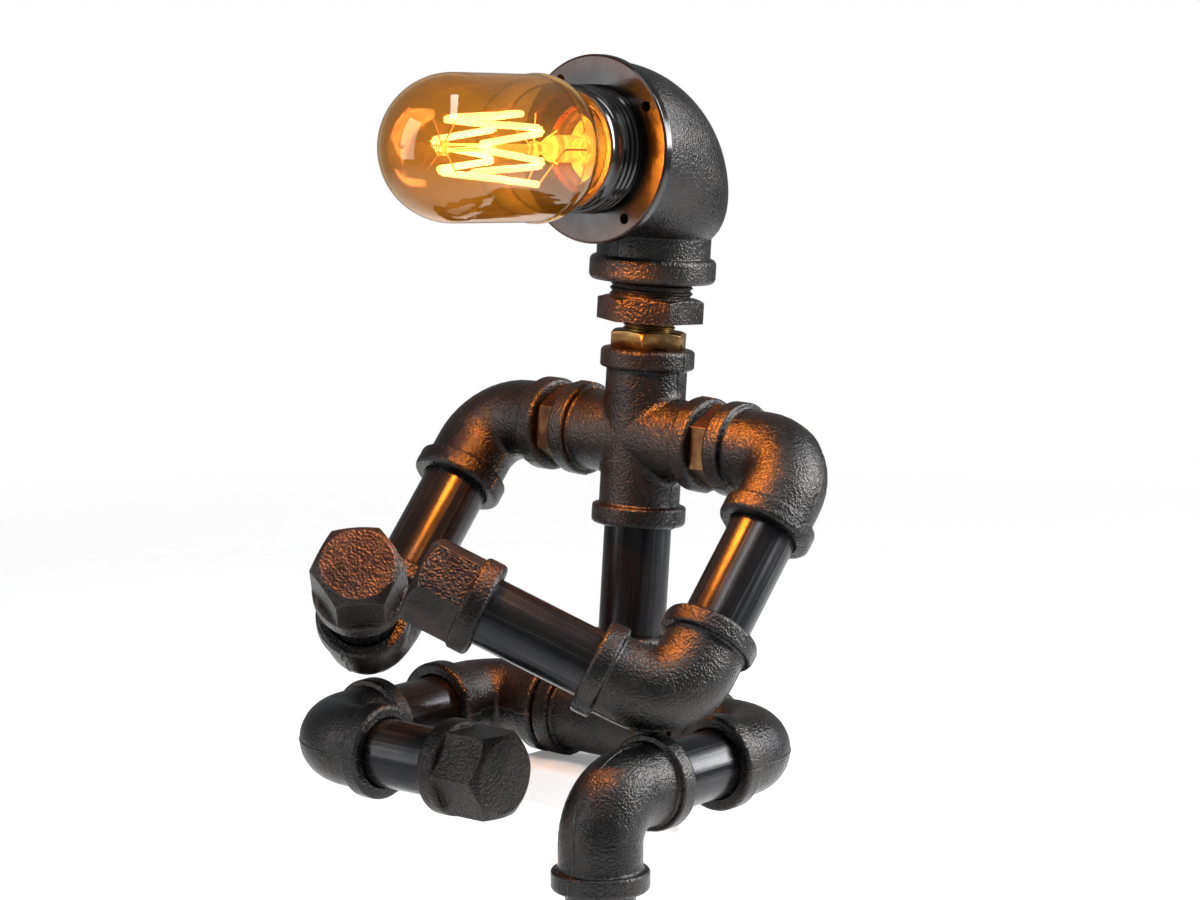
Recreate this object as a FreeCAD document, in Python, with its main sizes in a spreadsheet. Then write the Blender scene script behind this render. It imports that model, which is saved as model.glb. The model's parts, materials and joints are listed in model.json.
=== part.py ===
import FreeCAD, Part
import math
import os
import re
import Sketcher
from FreeCAD import Placement, Rotation, Vector

# A desk lamp in the shape of a seated robot, made of half inch pipe fittings.
# The origin is on the seat plane under the spine. Z is up, the lamp faces -Y and its left is +X.

# Every driving size in millimetres or degrees: name, value, what it is.
SIZES = [
    ("pipe_diameter", 21.3, "outside of the half inch pipe and of its threads"),
    ("pipe_wall", 2.65, "wall of the pipe"),
    ("thread_gap", 0.05, "radial running gap in a threaded mouth"),
    ("face_gap", 0.3, "gap between the flat faces of pieces that turn on each other"),
    ("engagement", 12.5, "length of thread inside a mouth"),
    ("mouth_depth", 13.5, "depth of a threaded mouth"),
    ("mouth_chamfer", 0.7, "chamfer of a threaded mouth"),
    ("fitting_reach", 28.0, "centre of a half inch fitting to its end faces"),
    ("bend_radius", 14.4, "centre line of an elbow's bend"),
    ("shell_diameter", 25.6, "outside of a fitting between its beads"),
    ("passage_diameter", 18.4, "bore of a fitting between its mouths"),
    ("bead_diameter", 29.8, "outside of a fitting's end bead"),
    ("bead_width", 6.3, "width of the bead"),
    ("bead_round", 1.5, "rounding of the bead's outer edge"),
    ("bead_back_share", 0.45, "rounding of the bead's back and root, of the bead's height"),
    ("crotch_round", 3.0, "fillet where the branches of a tee or cross meet"),
    ("lean_back", 5.0, "tilt of the spine from upright"),
    ("hip_gap", 1.0, "close gap between the tee and each hip elbow"),
    ("hip_bore", 15.0, "bore of the close nipples"),
    ("spine_exposed", 35.0, "spine pipe between tee and cross"),
    ("shoulder_hex_flats", 23.0, "brass shoulder hexagon across flats"),
    ("shoulder_hex_width", 6.5, "width of the shoulder hexagon"),
    ("nipple_bore", 15.0, "bore of the shoulder nipples"),
    ("hex_chamfer", 0.8, "chamfer of brass hexagon corners"),
    ("hex_top_inset", 0.2, "top circle of a hexagon's chamfer inside its flats"),
    ("upper_arm_exposed", 35.0, "upper arm pipe between its elbows"),
    ("left_arm_swing", 37.5, "left upper arm forward of the spine's line"),
    ("right_arm_swing", 37.5, "right upper arm forward of the spine's line"),
    ("left_forearm_exposed", 35.0, "left forearm pipe between elbow and cap"),
    ("right_forearm_exposed", 15.0, "right forearm pipe between elbow and cap"),
    ("left_forearm_lift", 40.0, "left forearm from straight inward towards forward and up"),
    ("right_forearm_lift", 58.0, "right forearm from straight inward towards forward and up"),
    ("thigh_exposed", 25.0, "thigh pipe between hip and knee elbows"),
    ("left_shin_turn", 90.0, "left shin from straight inward towards down"),
    ("right_shin_turn", 0.0, "right shin from straight inward towards down"),
    ("shin_exposed", 25.0, "shin pipe between knee elbow and cap"),
    ("cap_length", 23.5, "hexagon cap from its mouth to its crown"),
    ("cap_collar_width", 7.0, "width of the collar"),
    ("cap_flats", 25.6, "cap hexagon across flats"),
    ("cap_crown", 2.6, "height over which the crown's corners are turned off"),
    ("cap_crown_diameter", 23.0, "flat top of the crown"),
    ("neck_hex_flats", 22.0, "brass neck hexagon across flats"),
    ("neck_hex_width", 5.6, "width of the neck hexagon"),
    ("neck_thread_diameter", 16.7, "upper thread of the neck nipple"),
    ("neck_thread_exposed", 3.0, "brass thread that shows under the bushing"),
    ("neck_engagement", 10.5, "length of the upper thread inside the bushing"),
    ("neck_bore", 10.5, "bore of the neck nipple"),
    ("bushing_flats", 29.5, "bushing hexagon across flats"),
    ("bushing_hex_width", 7.5, "width of the bushing hexagon"),
    ("bushing_thread_diameter", 26.4, "outside thread of the bushing"),
    ("bushing_thread_exposed", 5.0, "bushing thread that shows under the head"),
    ("bushing_engagement", 12.0, "length of the bushing inside the head"),
    ("bushing_relief", 1.0, "thread in the head beyond the bushing"),
    ("head_drop", 41.5, "bulb axis above the head's lower end face"),
    ("head_front", 30.0, "head's front face before the neck axis"),
    ("head_bend_radius", 27.0, "centre line of the head's bend"),
    ("head_front_diameter", 55.0, "outside of the head at its front"),
    ("head_neck_diameter", 36.0, "outside of the head above its lower bead"),
    ("head_wall", 3.2, "wall of the head"),
    ("head_bead_diameter", 40.0, "lower bead of the head"),
    ("head_bead_width", 8.0, "width of the lower bead"),
    ("head_bead_round", 2.0, "rounding of the lower bead"),
    ("head_mouth_diameter", 40.6, "front mouth that holds the lampholder"),
    ("ring_diameter", 58.5, "shade ring outside"),
    ("ring_thickness", 3.0, "shade ring thickness"),
    ("ring_notch_diameter", 3.4, "small holes in the shade ring"),
    ("ring_notch_circle", 50.0, "circle of the small holes"),
    ("ring_notches", 4, "how many small holes"),
    ("ring_turn", 35.0, "turn of the first small hole from the lamp's left"),
    ("ring_round", 0.75, "rounding of the ring's front edge"),
    ("holder_diameter", 39.8, "outside thread of the lampholder"),
    ("holder_gap", 0.1, "radial gap of ring and head on that thread"),
    ("holder_rim_diameter", 37.6, "plain front rim of the lampholder"),
    ("holder_rim_width", 3.5, "width of the plain rim"),
    ("holder_rim_round", 0.75, "rounding of the rim's edge"),
    ("holder_front", 16.0, "lampholder rim before the head's front face"),
    ("holder_split", 13.0, "joint of skirt and dome behind the front face"),
    ("holder_rear", 30.0, "rear end of the dome behind the front face"),
    ("holder_wall", 2.2, "wall of the skirt and dome"),
    ("dome_step", 0.2, "dome's outside inside the skirt's thread"),
    ("dome_straight", 3.5, "straight part of the dome"),
    ("dome_end_height", 4.5, "height of the dome's narrow end"),
    ("dome_end_run", 3.0, "radius lost over that end"),
    ("dome_rear_diameter", 26.4, "rear end of the dome"),
    ("core_diameter", 28.4, "ceramic contact block"),
    ("core_floor", 22.5, "front face of the block behind the head's front face"),
    ("core_thickness", 4.0, "thickness of the block"),
    ("core_gap", 0.15, "radial gap of the dome round the block"),
    ("core_ledge", 1.6, "ledge of the dome under the block"),
    ("terminal_room", 1.9, "space for the wire screws behind the block"),
    ("screw_diameter", 26.05, "lamp cap thread"),
    ("screw_gap", 0.1, "radial gap of the cap in the screw shell"),
    ("sheet_metal", 0.5, "thickness of shell, cap and contact"),
    ("screw_shell_front", 8.0, "mouth of the screw shell before the head's front face"),
    ("shell_floor_clear", 2.5, "floor of the screw shell clear of the contact's radius"),
    ("tongue_length", 8.5, "spring tongue across the block"),
    ("tongue_width", 4.0, "width of the tongue"),
    ("tongue_pad", 5.0, "raised end of the tongue"),
    ("entry_diameter", 10.0, "thread of the entry bush"),
    ("entry_bore", 6.6, "bore of the entry bush"),
    ("entry_proud", 0.4, "entry bush behind the dome"),
    ("entry_room", 1.2, "entry bush clear of the block"),
    ("terminal_screw_diameter", 4.0, "head of a wire screw"),
    ("terminal_screw_head", 1.4, "height of that head"),
    ("terminal_pitch", 8.0, "wire screws from the axis"),
    ("wire_diameter", 2.1, "each insulated inner wire"),
    ("wire_pitch", 2.6, "distance between the two wires"),
    ("wire_joint", 3.0, "joint of head and spine wires above the neck nipple"),
    ("bulb_length", 110.0, "overall length of the bulb"),
    ("bulb_diameter", 45.0, "diameter of the bulb"),
    ("bulb_tip", 90.0, "tip of the bulb before the head's front face"),
    ("bulb_neck_diameter", 24.4, "glass neck inside the cap"),
    ("bulb_shoulder", 22.0, "length over which the neck widens"),
    ("bulb_wall", 0.9, "glass wall"),
    ("bulb_shoulder_round", 0.3, "rounding of each shoulder bend, of the shoulder's length"),
    ("bulb_shoulder_bow", 0.12, "bow of a shoulder bend at its middle, of that rounding"),
    ("glass_in_cap", 9.0, "length of the glass neck inside the cap"),
    ("cap_shell_length", 22.0, "threaded cap of the bulb"),
    ("cap_floor_width", 3.0, "width of the cap's floor"),
    ("cap_corner_width", 1.0, "slanted corner of the cap across"),
    ("cap_corner_height", 1.2, "slanted corner of the cap along"),
    ("insulator_height", 5.0, "tip of the contact to the cap's rim"),
    ("insulator_brim", 1.0, "insulator round the contact"),
    ("insulator_inset", 1.6, "insulator inside the cap's thread"),
    ("button_diameter", 10.0, "centre contact of the bulb"),
    ("button_height", 1.2, "its height"),
    ("button_round", 1.0, "slanted edge of the contact"),
    ("stem_diameter", 8.4, "stem tube"),
    ("stem_wall", 1.0, "wall of the stem's foot"),
    ("stem_fit", 0.2, "radial gap of the flare in the neck"),
    ("flare_rim", 1.2, "thickness of the flare's rim"),
    ("flare_waist", 0.6, "flare's foot beyond the stem"),
    ("flare_height", 6.0, "height of the flare"),
    ("flare_end", 9.0, "height where the flare has become the stem"),
    ("stem_stop", 8.0, "stem ends behind the cage"),
    ("stem_taper", 4.0, "length over which the stem draws down to the rod"),
    ("stem_hollow", 14.0, "hollow foot ends behind the cage"),
    ("stem_hollow_tip", 12.0, "tip of that hollow behind the cage"),
    ("rod_diameter", 2.6, "glass rod that carries the hooks"),
    ("rod_bead", 1.0, "bead on the rod: its height, and half its length"),
    ("rod_bead_slope", 0.5, "slanted side of that bead"),
    ("cage_start", 31.0, "rear end of the filament before the front face"),
    ("cage_end", 72.0, "front end of the filament before the front face"),
    ("cage_rear_radius", 11.0, "filament cage radius at the rear"),
    ("cage_front_radius", 9.5, "filament cage radius at the front"),
    ("cage_strands", 12, "filament strands"),
    ("cage_opening", 24.0, "free angle between the first and last strand, at the bottom"),
    ("filament_diameter", 0.4, "filament wire"),
    ("hook_diameter", 0.5, "support wire"),
    ("hook_gap", 0.1, "hook short of the filament"),
    ("lead_diameter", 0.6, "lead-in wire"),
    ("lead_gap", 0.1, "lead beside the stem"),
    ("lead_foot", 10.0, "rear end of the leads before the front face"),
    ("lead_bend", 9.0, "bend of the leads behind the cage"),
    ("lead_bend_radius", 3.0, "radius of that bend"),
    ("lead_end", 0.5, "leads short of the filament's ends"),
    ("strand_round", 0.9, "bend of the filament at a hook"),
    ("grip_thread_diameter", 10.0, "thread of the cord bush"),
    ("grip_flats", 13.0, "cord bush hexagon across flats"),
    ("grip_width", 7.0, "length of the cord bush outside the tee"),
    ("grip_bore", 6.8, "bore for the cord"),
    ("grip_inside", 4.6, "length of the cord bush in the tee's wall"),
    ("grip_screw_diameter", 3.0, "clamping screw of the cord bush"),
    ("grip_screw_proud", 0.7, "clamping screw beyond the bush's flat"),
    ("block_length", 14.0, "terminal block along the hips"),
    ("block_depth", 8.0, "terminal block front to back"),
    ("block_height", 9.0, "terminal block height"),
    ("block_hole", 3.0, "wire holes of the terminal block"),
]

OUT = "parts"
ALL_ROUND = 360
QUARTER = 90
HEX = 6
TOUCH = 1e-4
CUT_OVER = 1.0  # how far a cut runs past the metal

doc = FreeCAD.newDocument("robot_lamp")
sheet = doc.addObject("Spreadsheet::Sheet", "Sizes")
for row, (alias, value, note) in enumerate(SIZES, start=1):
    sheet.set(f"A{row}", alias)
    sheet.set(f"B{row}", str(value))
    sheet.setAlias(f"B{row}", alias)
    sheet.set(f"C{row}", note)
doc.recompute()
size = {alias: float(sheet.get(alias)) for alias, _, _ in SIZES}
nodes = []


def in_sheet(formula):
    """A formula in which each size's name points at its cell."""
    return re.sub(r"[a-z_]+", lambda word: "Sizes." + word[0] if word[0] in size else word[0], formula)


def bind(thing, **formulas):
    """Tie properties of a feature to the sheet."""
    for name, formula in formulas.items():
        thing.setExpression(name, in_sheet(formula))


def aim(z_axis, x_axis):
    """The turn that lays a piece's Z and X along two square directions."""
    return Rotation(x_axis, z_axis.cross(x_axis), z_axis, "ZXY")


# Bodies and their features

UPRIGHT = Rotation()
PORTS = {
    "+x": (Rotation(Vector(0, 1, 0), QUARTER), "x", ""),
    "-x": (Rotation(Vector(0, 1, 0), -QUARTER), "x", "-"),
    "+y": (Rotation(Vector(1, 0, 0), -QUARTER), "y", ""),
    "+z": (UPRIGHT, "z", ""),
    "-z": (Rotation(Vector(1, 0, 0), 2 * QUARTER), "z", "-"),
}
BEND = aim(Vector(0, -1, 0), Vector(-1, 0, 0))


def new_body(label, listed=True):
    """An empty body; a listed one is a piece of the lamp."""
    body = doc.addObject("PartDesign::Body", label)
    body.Label = label
    if listed:
        nodes.append(body)
    return body


def feature(body, kind, turn=UPRIGHT, at=None, **formulas):
    """A primitive feature of a body, turned and moved, with its sizes tied to the sheet."""
    step = body.newObject("PartDesign::" + kind, kind)
    step.Placement = Placement(Vector(), turn)
    for axis, formula in (at or {}).items():
        step.setExpression("Placement.Base." + axis, in_sheet(formula))
    bind(step, **formulas)
    return step


def rod(body, kind, port, radius, start, length):
    """A cylinder that starts at a distance from the centre and runs along a port."""
    turn, axis, sign = PORTS[port]
    at = {axis: f"{sign}({start})"}
    return feature(body, kind + "Cylinder", turn, at, Radius=radius, Height=length)


def prism(body, flats, start, width):
    """A hexagon about Z from a height, given across its flats."""
    step = feature(body, "AdditivePrism", UPRIGHT, {"z": start},
                   Circumradius=f"({flats}) / sqrt(3)", Height=width)
    step.Polygon = HEX
    return step


def on_circle(edge, radius, distance):
    """Whether an edge is a circle of a radius whose centre is at a distance from the origin."""
    if edge.Degenerated:
        return False
    curve = edge.Curve
    return (isinstance(curve, Part.Circle) and abs(curve.Radius - radius) < TOUCH
            and abs(curve.Center.Length - distance) < TOUCH)


def soften(body, kind, amount, circles):
    """Fillet or chamfer the circular edges that lie at the given radii and distances."""
    doc.recompute()
    base = body.Tip
    names = [f"Edge{number}" for number, edge in enumerate(base.Shape.Edges, start=1)
             if any(on_circle(edge, radius, distance) for radius, distance in circles)]
    step = body.newObject("PartDesign::" + kind, kind)
    step.Base = (base, names)
    bind(step, **{"Radius" if kind == "Fillet" else "Size": amount})


def origin_part(body, role):
    """One of the body's own planes or axes."""
    return next(part for part in body.Origin.OriginFeatures if part.Role == role)


def sketch_on(body, role, name):
    """A sketch on one of the body's own planes."""
    sketch = body.newObject("Sketcher::SketchObject", name)
    sketch.AttachmentSupport = (origin_part(body, role), [""])
    sketch.MapMode = "FlatFace"
    return sketch


def outline(sketch, corners):
    """A closed outline of straight edges whose corners are tied to the sheet."""
    count = len(corners)
    rough = [Vector(5 + number, 3 + number * number, 0) for number in range(count)]
    for number in range(count):
        sketch.addGeometry(Part.LineSegment(rough[number], rough[(number + 1) % count]), False)
    for number in range(count):
        sketch.addConstraint(Sketcher.Constraint("Coincident", number, 2, (number + 1) % count, 1))
    for number, corner in enumerate(corners):
        for kind, formula in zip(("DistanceX", "DistanceY"), corner):
            rule = sketch.addConstraint(Sketcher.Constraint(kind, -1, 1, number, 1, 1.0))
            sketch.setExpression(f"Constraints[{rule}]", in_sheet(formula))


def revolve(body, corners, kind="Revolution"):
    """Turn an outline of (radius, height) corners about Z."""
    sketch = sketch_on(body, "XZ_Plane", "Outline")
    outline(sketch, corners)
    turn = body.newObject("PartDesign::" + kind, kind)
    turn.Profile = sketch
    turn.ReferenceAxis = (sketch, ["V_Axis"])
    turn.Angle = ALL_ROUND


def turned(label, corners, listed=True):
    body = new_body(label, listed)
    revolve(body, corners)
    return body


def tube_body(label, outside, bore, length, listed=True):
    """A straight tube along Z, padded from two circles."""
    body = new_body(label, listed)
    sketch = sketch_on(body, "XY_Plane", "Section")
    for number, formula in enumerate((outside, bore)):
        sketch.addGeometry(Part.Circle(Vector(), Vector(0, 0, 1), 2.0 - number), False)
        sketch.addConstraint(Sketcher.Constraint("Coincident", number, 3, -1, 1))
        rule = sketch.addConstraint(Sketcher.Constraint("Diameter", number, 4.0 - 2 * number))
        sketch.setExpression(f"Constraints[{rule}]", in_sheet(formula))
    pad = body.newObject("PartDesign::Pad", "Length")
    pad.Profile = sketch
    bind(pad, Length=length)
    return body


def group(label, members):
    """Identical pieces that share one node."""
    node = doc.addObject("Part::Compound", label)
    node.Label = label
    node.Links = members
    nodes.append(node)
    return node


# Paths and round tubes along them

def rounded_path(points, radii):
    """Straight runs joined by tangent arcs, one radius for each inner point."""
    edges = []
    start = points[0]
    for before, corner, after, radius in zip(points, points[1:], points[2:], radii):
        inward = (before - corner).normalize()
        outward = (after - corner).normalize()
        half = inward.getAngle(outward) / 2
        leg = radius / math.tan(half)
        first = corner + inward * leg
        last = corner + outward * leg
        bisector = (inward + outward).normalize()
        middle = corner + bisector * (radius / math.sin(half) - radius)
        edges.append(Part.LineSegment(start, first).toShape())
        edges.append(Part.Arc(first, middle, last).toShape())
        start = last
    edges.append(Part.LineSegment(start, points[-1]).toShape())
    return Part.Wire(edges)


def largest_radii(points):
    """The largest arc that each corner's two runs allow."""
    share = 0.45
    radii = []
    for before, corner, after in zip(points, points[1:], points[2:]):
        turn = math.pi - (before - corner).getAngle(after - corner)
        run = min((before - corner).Length, (after - corner).Length)
        radii.append(share * run / math.tan(turn / 2))
    return radii


def tube_along(path, diameter, name):
    """A round solid along a path; prints its volume against section times length."""
    first = path.Edges[0]
    start = first.valueAt(first.FirstParameter)
    section = Part.Wire(Part.Circle(start, first.tangentAt(first.FirstParameter), diameter / 2).toShape())
    solid = path.makePipeShell([section], True, False)
    ideal = math.pi * diameter ** 2 / 4 * path.Length
    print(f"{name}: length {path.Length:.1f}, volume over section times length {solid.Volume / ideal:.4f}")
    return solid


def shaped(label, solids, place):
    """A node from plain shapes, where no feature fits; several solids share it."""
    node = doc.addObject("Part::Feature", label)
    node.Label = label
    node.Shape = Part.makeCompound(solids) if len(solids) > 1 else solids[0]
    node.Placement = place
    nodes.append(node)
    return node


# Beaded fittings, pipes and caps

def beaded_fitting(label, ports):
    """An elbow on two ports, or a tee or cross on more, with beads and threaded mouths."""
    body = new_body(label)
    bent = len(ports) == 2
    start = "bend_radius" if bent else "0"
    corner = {"x": "bend_radius", "z": "bend_radius"}
    if bent:
        shell = feature(body, "AdditiveTorus", BEND, corner,
                        Radius1="bend_radius", Radius2="shell_diameter / 2")
        shell.Angle3 = QUARTER
    for port in ports:
        rod(body, "Additive", port, "shell_diameter / 2", start, f"fitting_reach - {start}")
    if not bent:
        round_crotch(body)
    for port in ports:
        rod(body, "Additive", port, "bead_diameter / 2", "fitting_reach - bead_width", "bead_width")
    bead = size["bead_diameter"] / 2
    inner_face = size["fitting_reach"] - size["bead_width"]
    soften(body, "Fillet", "bead_round", [(bead, size["fitting_reach"])])
    soften(body, "Fillet", "bead_back_share * (bead_diameter - shell_diameter) / 2",
           [(bead, inner_face), (size["shell_diameter"] / 2, inner_face)])
    if bent:
        bore = feature(body, "SubtractiveTorus", BEND, corner,
                       Radius1="bend_radius", Radius2="passage_diameter / 2")
        bore.Angle3 = QUARTER
    for port in ports:
        rod(body, "Subtractive", port, "passage_diameter / 2", start, f"fitting_reach - {start}")
        rod(body, "Subtractive", port, "pipe_diameter / 2 + thread_gap",
            "fitting_reach - mouth_depth", "mouth_depth")
    mouth = size["pipe_diameter"] / 2 + size["thread_gap"]
    soften(body, "Chamfer", "mouth_chamfer", [(mouth, size["fitting_reach"])])
    return body


def round_crotch(body):
    """Fillet the seams where the equal branches of a tee or cross meet."""
    doc.recompute()
    base = body.Tip
    seams = [f"Edge{number}" for number, edge in enumerate(base.Shape.Edges, start=1)
             if not edge.Degenerated and not isinstance(edge.Curve, (Part.Circle, Part.Line))]
    step = body.newObject("PartDesign::Fillet", "Crotch")
    step.Base = (base, seams)
    bind(step, Radius="crotch_round")


def pipe(label, exposed):
    """A pipe that shows a length between two mouths; it starts at its origin."""
    bore = "pipe_diameter - 2 * pipe_wall"
    return tube_body(label, "pipe_diameter", bore, f"{exposed} + 2 * engagement")


def hex_cap(label):
    """A closed hexagon cap whose collar is as wide as a bead; its mouth is at its origin."""
    body = new_body(label)
    rod(body, "Additive", "+z", "bead_diameter / 2", "0", "cap_collar_width")
    collar = size["bead_diameter"] / 2
    soften(body, "Fillet", "bead_round", [(collar, 0), (collar, size["cap_collar_width"])])
    prism(body, "cap_flats", "cap_collar_width / 2", "cap_length - cap_collar_width / 2")
    revolve(body, [
        ("cap_crown_diameter / 2", "cap_length"),
        (f"cap_flats / sqrt(3) + {CUT_OVER}", "cap_length"),
        (f"cap_flats / sqrt(3) + {CUT_OVER}", "cap_length - cap_crown"),
        ("cap_flats / sqrt(3)", "cap_length - cap_crown"),
    ], "Groove")
    rod(body, "Subtractive", "+z", "pipe_diameter / 2 + thread_gap", "0", "mouth_depth")
    soften(body, "Chamfer", "mouth_chamfer", [(size["pipe_diameter"] / 2 + size["thread_gap"], 0)])
    return body


def hex_nipple(label, flats, width, lower, upper, bore, listed=True):
    """A hexagon with a threaded shank on each side: each shank is (diameter, length)."""
    body = new_body(label, listed)
    prism(body, flats, "0", width)
    revolve(body, [
        (f"{flats} / 2 - hex_top_inset", width),
        (f"{flats} / sqrt(3)", width),
        (f"{flats} / sqrt(3)", f"{width} - hex_chamfer"),
    ], "Groove")
    rod(body, "Additive", "-z", f"({lower[0]}) / 2", "0", lower[1])
    rod(body, "Additive", "+z", f"({upper[0]}) / 2", width, upper[1])
    rod(body, "Subtractive", "+z", f"{bore} / 2", f"-({lower[1]})", f"{lower[1]} + {width} + {upper[1]}")
    return body


# Where the limbs go

FORWARD = Vector(0, -1, 0)
UP = Vector(0, 0, 1)
RIGHTWARD = Vector(1, 0, 0)
SIDES = {"left": 1, "right": -1}


def radians(name):
    return math.radians(size[name])


def placed(frame, point, turn=UPRIGHT):
    return frame.multiply(Placement(point, turn))


pelvis = Placement(Vector(0, 0, size["bead_diameter"] / 2), UPRIGHT)
spine = placed(pelvis, Vector(), Rotation(RIGHTWARD, -size["lean_back"]))
spine_length = 2 * size["fitting_reach"] + size["spine_exposed"]
chest = placed(spine, Vector(0, 0, spine_length))
neck_height = (size["fitting_reach"] + size["neck_hex_width"] + size["neck_thread_exposed"]
               + size["bushing_hex_width"] + size["bushing_thread_exposed"] + size["head_drop"])
head = placed(chest, Vector(0, 0, neck_height))
# The lampholder and the bulb are drawn along Z from the head's front face.
socket = placed(head, FORWARD * size["head_front"], aim(FORWARD, RIGHTWARD))


def put_pipe(frame, label, centre, along, exposed_name):
    """A pipe that leaves the fitting at a centre; returns how far its other end face is."""
    node = pipe(label, exposed_name)
    start = centre + along * (size["fitting_reach"] - size["engagement"])
    node.Placement = placed(frame, start, Rotation(UP, along))
    return size["fitting_reach"] + size[exposed_name]


def put_elbow(frame, label, centre, first, second):
    """An elbow whose two mouths face two square directions."""
    node = beaded_fitting(label, ("+x", "+z"))
    node.Placement = placed(frame, centre, aim(second, first))


def put_cap(frame, label, centre, along, facing):
    node = hex_cap(label)
    node.Placement = placed(frame, centre, aim(along, facing))


def build_arm(side):
    """Shoulder elbow, upper arm, arm elbow, forearm and hand cap of one side."""
    outward = RIGHTWARD * SIDES[side]
    swing = radians(f"{side}_arm_swing")
    lift = radians(f"{side}_forearm_lift")
    down = FORWARD * math.sin(swing) - UP * math.cos(swing)
    raised = FORWARD * math.cos(swing) + UP * math.sin(swing)
    forearm = raised * math.sin(lift) - outward * math.cos(lift)
    shoulder = outward * (2 * size["fitting_reach"] + size["shoulder_hex_width"] + size["face_gap"])
    put_elbow(chest, f"shoulder_elbow_{side}", shoulder, -outward, down)
    reach = put_pipe(chest, f"upper_arm_pipe_{side}", shoulder, down, "upper_arm_exposed")
    bend = shoulder + down * (reach + size["fitting_reach"])
    put_elbow(chest, f"arm_elbow_{side}", bend, -down, forearm)
    reach = put_pipe(chest, f"forearm_pipe_{side}", bend, forearm, f"{side}_forearm_exposed")
    put_cap(chest, f"hand_cap_{side}", bend + forearm * reach, forearm, down)


def build_leg(side):
    """Hip elbow, thigh, knee elbow, shin and foot cap of one side."""
    outward = RIGHTWARD * SIDES[side]
    turn = radians(f"{side}_shin_turn")
    shin = -outward * math.cos(turn) - UP * math.sin(turn)
    hip = outward * (2 * size["fitting_reach"] + size["hip_gap"])
    put_elbow(pelvis, f"hip_elbow_{side}", hip, -outward, FORWARD)
    reach = put_pipe(pelvis, f"thigh_pipe_{side}", hip, FORWARD, "thigh_exposed")
    knee = hip + FORWARD * (reach + size["fitting_reach"])
    put_elbow(pelvis, f"knee_elbow_{side}", knee, -FORWARD, shin)
    reach = put_pipe(pelvis, f"shin_pipe_{side}", knee, shin, "shin_exposed")
    put_cap(pelvis, f"foot_cap_{side}", knee + shin * reach, shin, FORWARD)


def build_pelvis():
    """The tee, its close nipples, the cord bush in its back and the terminal block in it."""
    tee = beaded_fitting("pelvis_tee", ("+x", "-x", "+z"))
    rod(tee, "Subtractive", "+y", "grip_thread_diameter / 2 + thread_gap", "0", "shell_diameter")
    tee.Placement = spine
    close = []
    for side, sign in SIDES.items():
        nipple = tube_body(f"close_nipple_{side}", "pipe_diameter", "hip_bore",
                           "2 * engagement + hip_gap", listed=False)
        along = RIGHTWARD * sign
        start = along * (size["fitting_reach"] - size["engagement"])
        nipple.Placement = placed(pelvis, start, Rotation(UP, along))
        close.append(nipple)
    group("hip_nipples", close)

    backward = -FORWARD
    grip = new_body("cord_grip")
    prism(grip, "grip_flats", "0", "grip_width")
    rod(grip, "Additive", "-z", "grip_thread_diameter / 2", "0", "grip_inside")
    rod(grip, "Subtractive", "+z", "grip_bore / 2", "-grip_inside", "grip_inside + grip_width")
    feature(grip, "SubtractiveCylinder", PORTS["+x"][0], {"z": "grip_width / 2"},
            Radius="grip_screw_diameter / 2 + thread_gap", Height="grip_flats")
    grip_seat = placed(spine, backward * (size["shell_diameter"] / 2 + size["thread_gap"]),
                       aim(backward, RIGHTWARD))
    grip.Placement = grip_seat
    screw = new_body("cord_grip_screw")
    rod(screw, "Additive", "+z", "grip_screw_diameter / 2", "0",
        "grip_flats / 2 + grip_screw_proud - grip_bore / 2 - face_gap")
    start = size["grip_bore"] / 2 + size["face_gap"]
    screw.Placement = placed(grip_seat, Vector(start, 0, size["grip_width"] / 2), PORTS["+x"][0])

    block = new_body("terminal_block")
    feature(block, "AdditiveBox", UPRIGHT,
            {"x": "-block_length / 2", "y": "-block_depth / 2", "z": "-block_height / 2"},
            Length="block_length", Width="block_depth", Height="block_height")
    for sign in ("", "-"):
        feature(block, "SubtractiveCylinder", UPRIGHT,
                {"x": f"{sign}(block_length / 4)", "z": "-block_height / 2"},
                Radius="block_hole / 2", Height="block_height")
    block.Placement = spine


def build_torso():
    """The cross on its spine pipe and the brass nipples in it."""
    put_pipe(spine, "spine_pipe", Vector(), UP, "spine_exposed")
    cross = beaded_fitting("torso_cross", ("+x", "-x", "+z", "-z"))
    cross.Placement = chest
    thread = ("pipe_diameter", "engagement")
    shoulders = []
    for side, sign in SIDES.items():
        nipple = hex_nipple(f"shoulder_nipple_{side}", "shoulder_hex_flats", "shoulder_hex_width",
                            thread, thread, "nipple_bore", listed=False)
        along = RIGHTWARD * sign
        nipple.Placement = placed(chest, along * size["fitting_reach"], aim(along, UP))
        shoulders.append(nipple)
    group("shoulder_nipples", shoulders)
    neck = hex_nipple("neck_nipple", "neck_hex_flats", "neck_hex_width", thread,
                      ("neck_thread_diameter", "neck_thread_exposed + neck_engagement"), "neck_bore")
    neck.Placement = placed(chest, UP * size["fitting_reach"])


def head_section(share):
    """Radius of the head's shell along its bend: the share runs from front to neck."""
    front = size["head_front_diameter"] / 2
    back = size["head_neck_diameter"] / 2
    return back + (front - back) * math.sqrt(1 - share ** 2)


def bent_shell(inset):
    """The head's tapering bend as a solid, its outside moved in by an inset."""
    rings = []
    steps = 6
    for step in range(steps + 1):
        share = step / steps
        angle = share * math.pi / 2
        out = UP * math.cos(angle) - FORWARD * math.sin(angle)
        along = -FORWARD * math.cos(angle) - UP * math.sin(angle)
        centre = (FORWARD - UP) * size["head_bend_radius"] + out * size["head_bend_radius"]
        ring = Part.Circle(centre, along, head_section(share) - inset).toShape()
        rings.append(Part.Wire(ring))
    return Part.makeLoft(rings, True, False)


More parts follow.
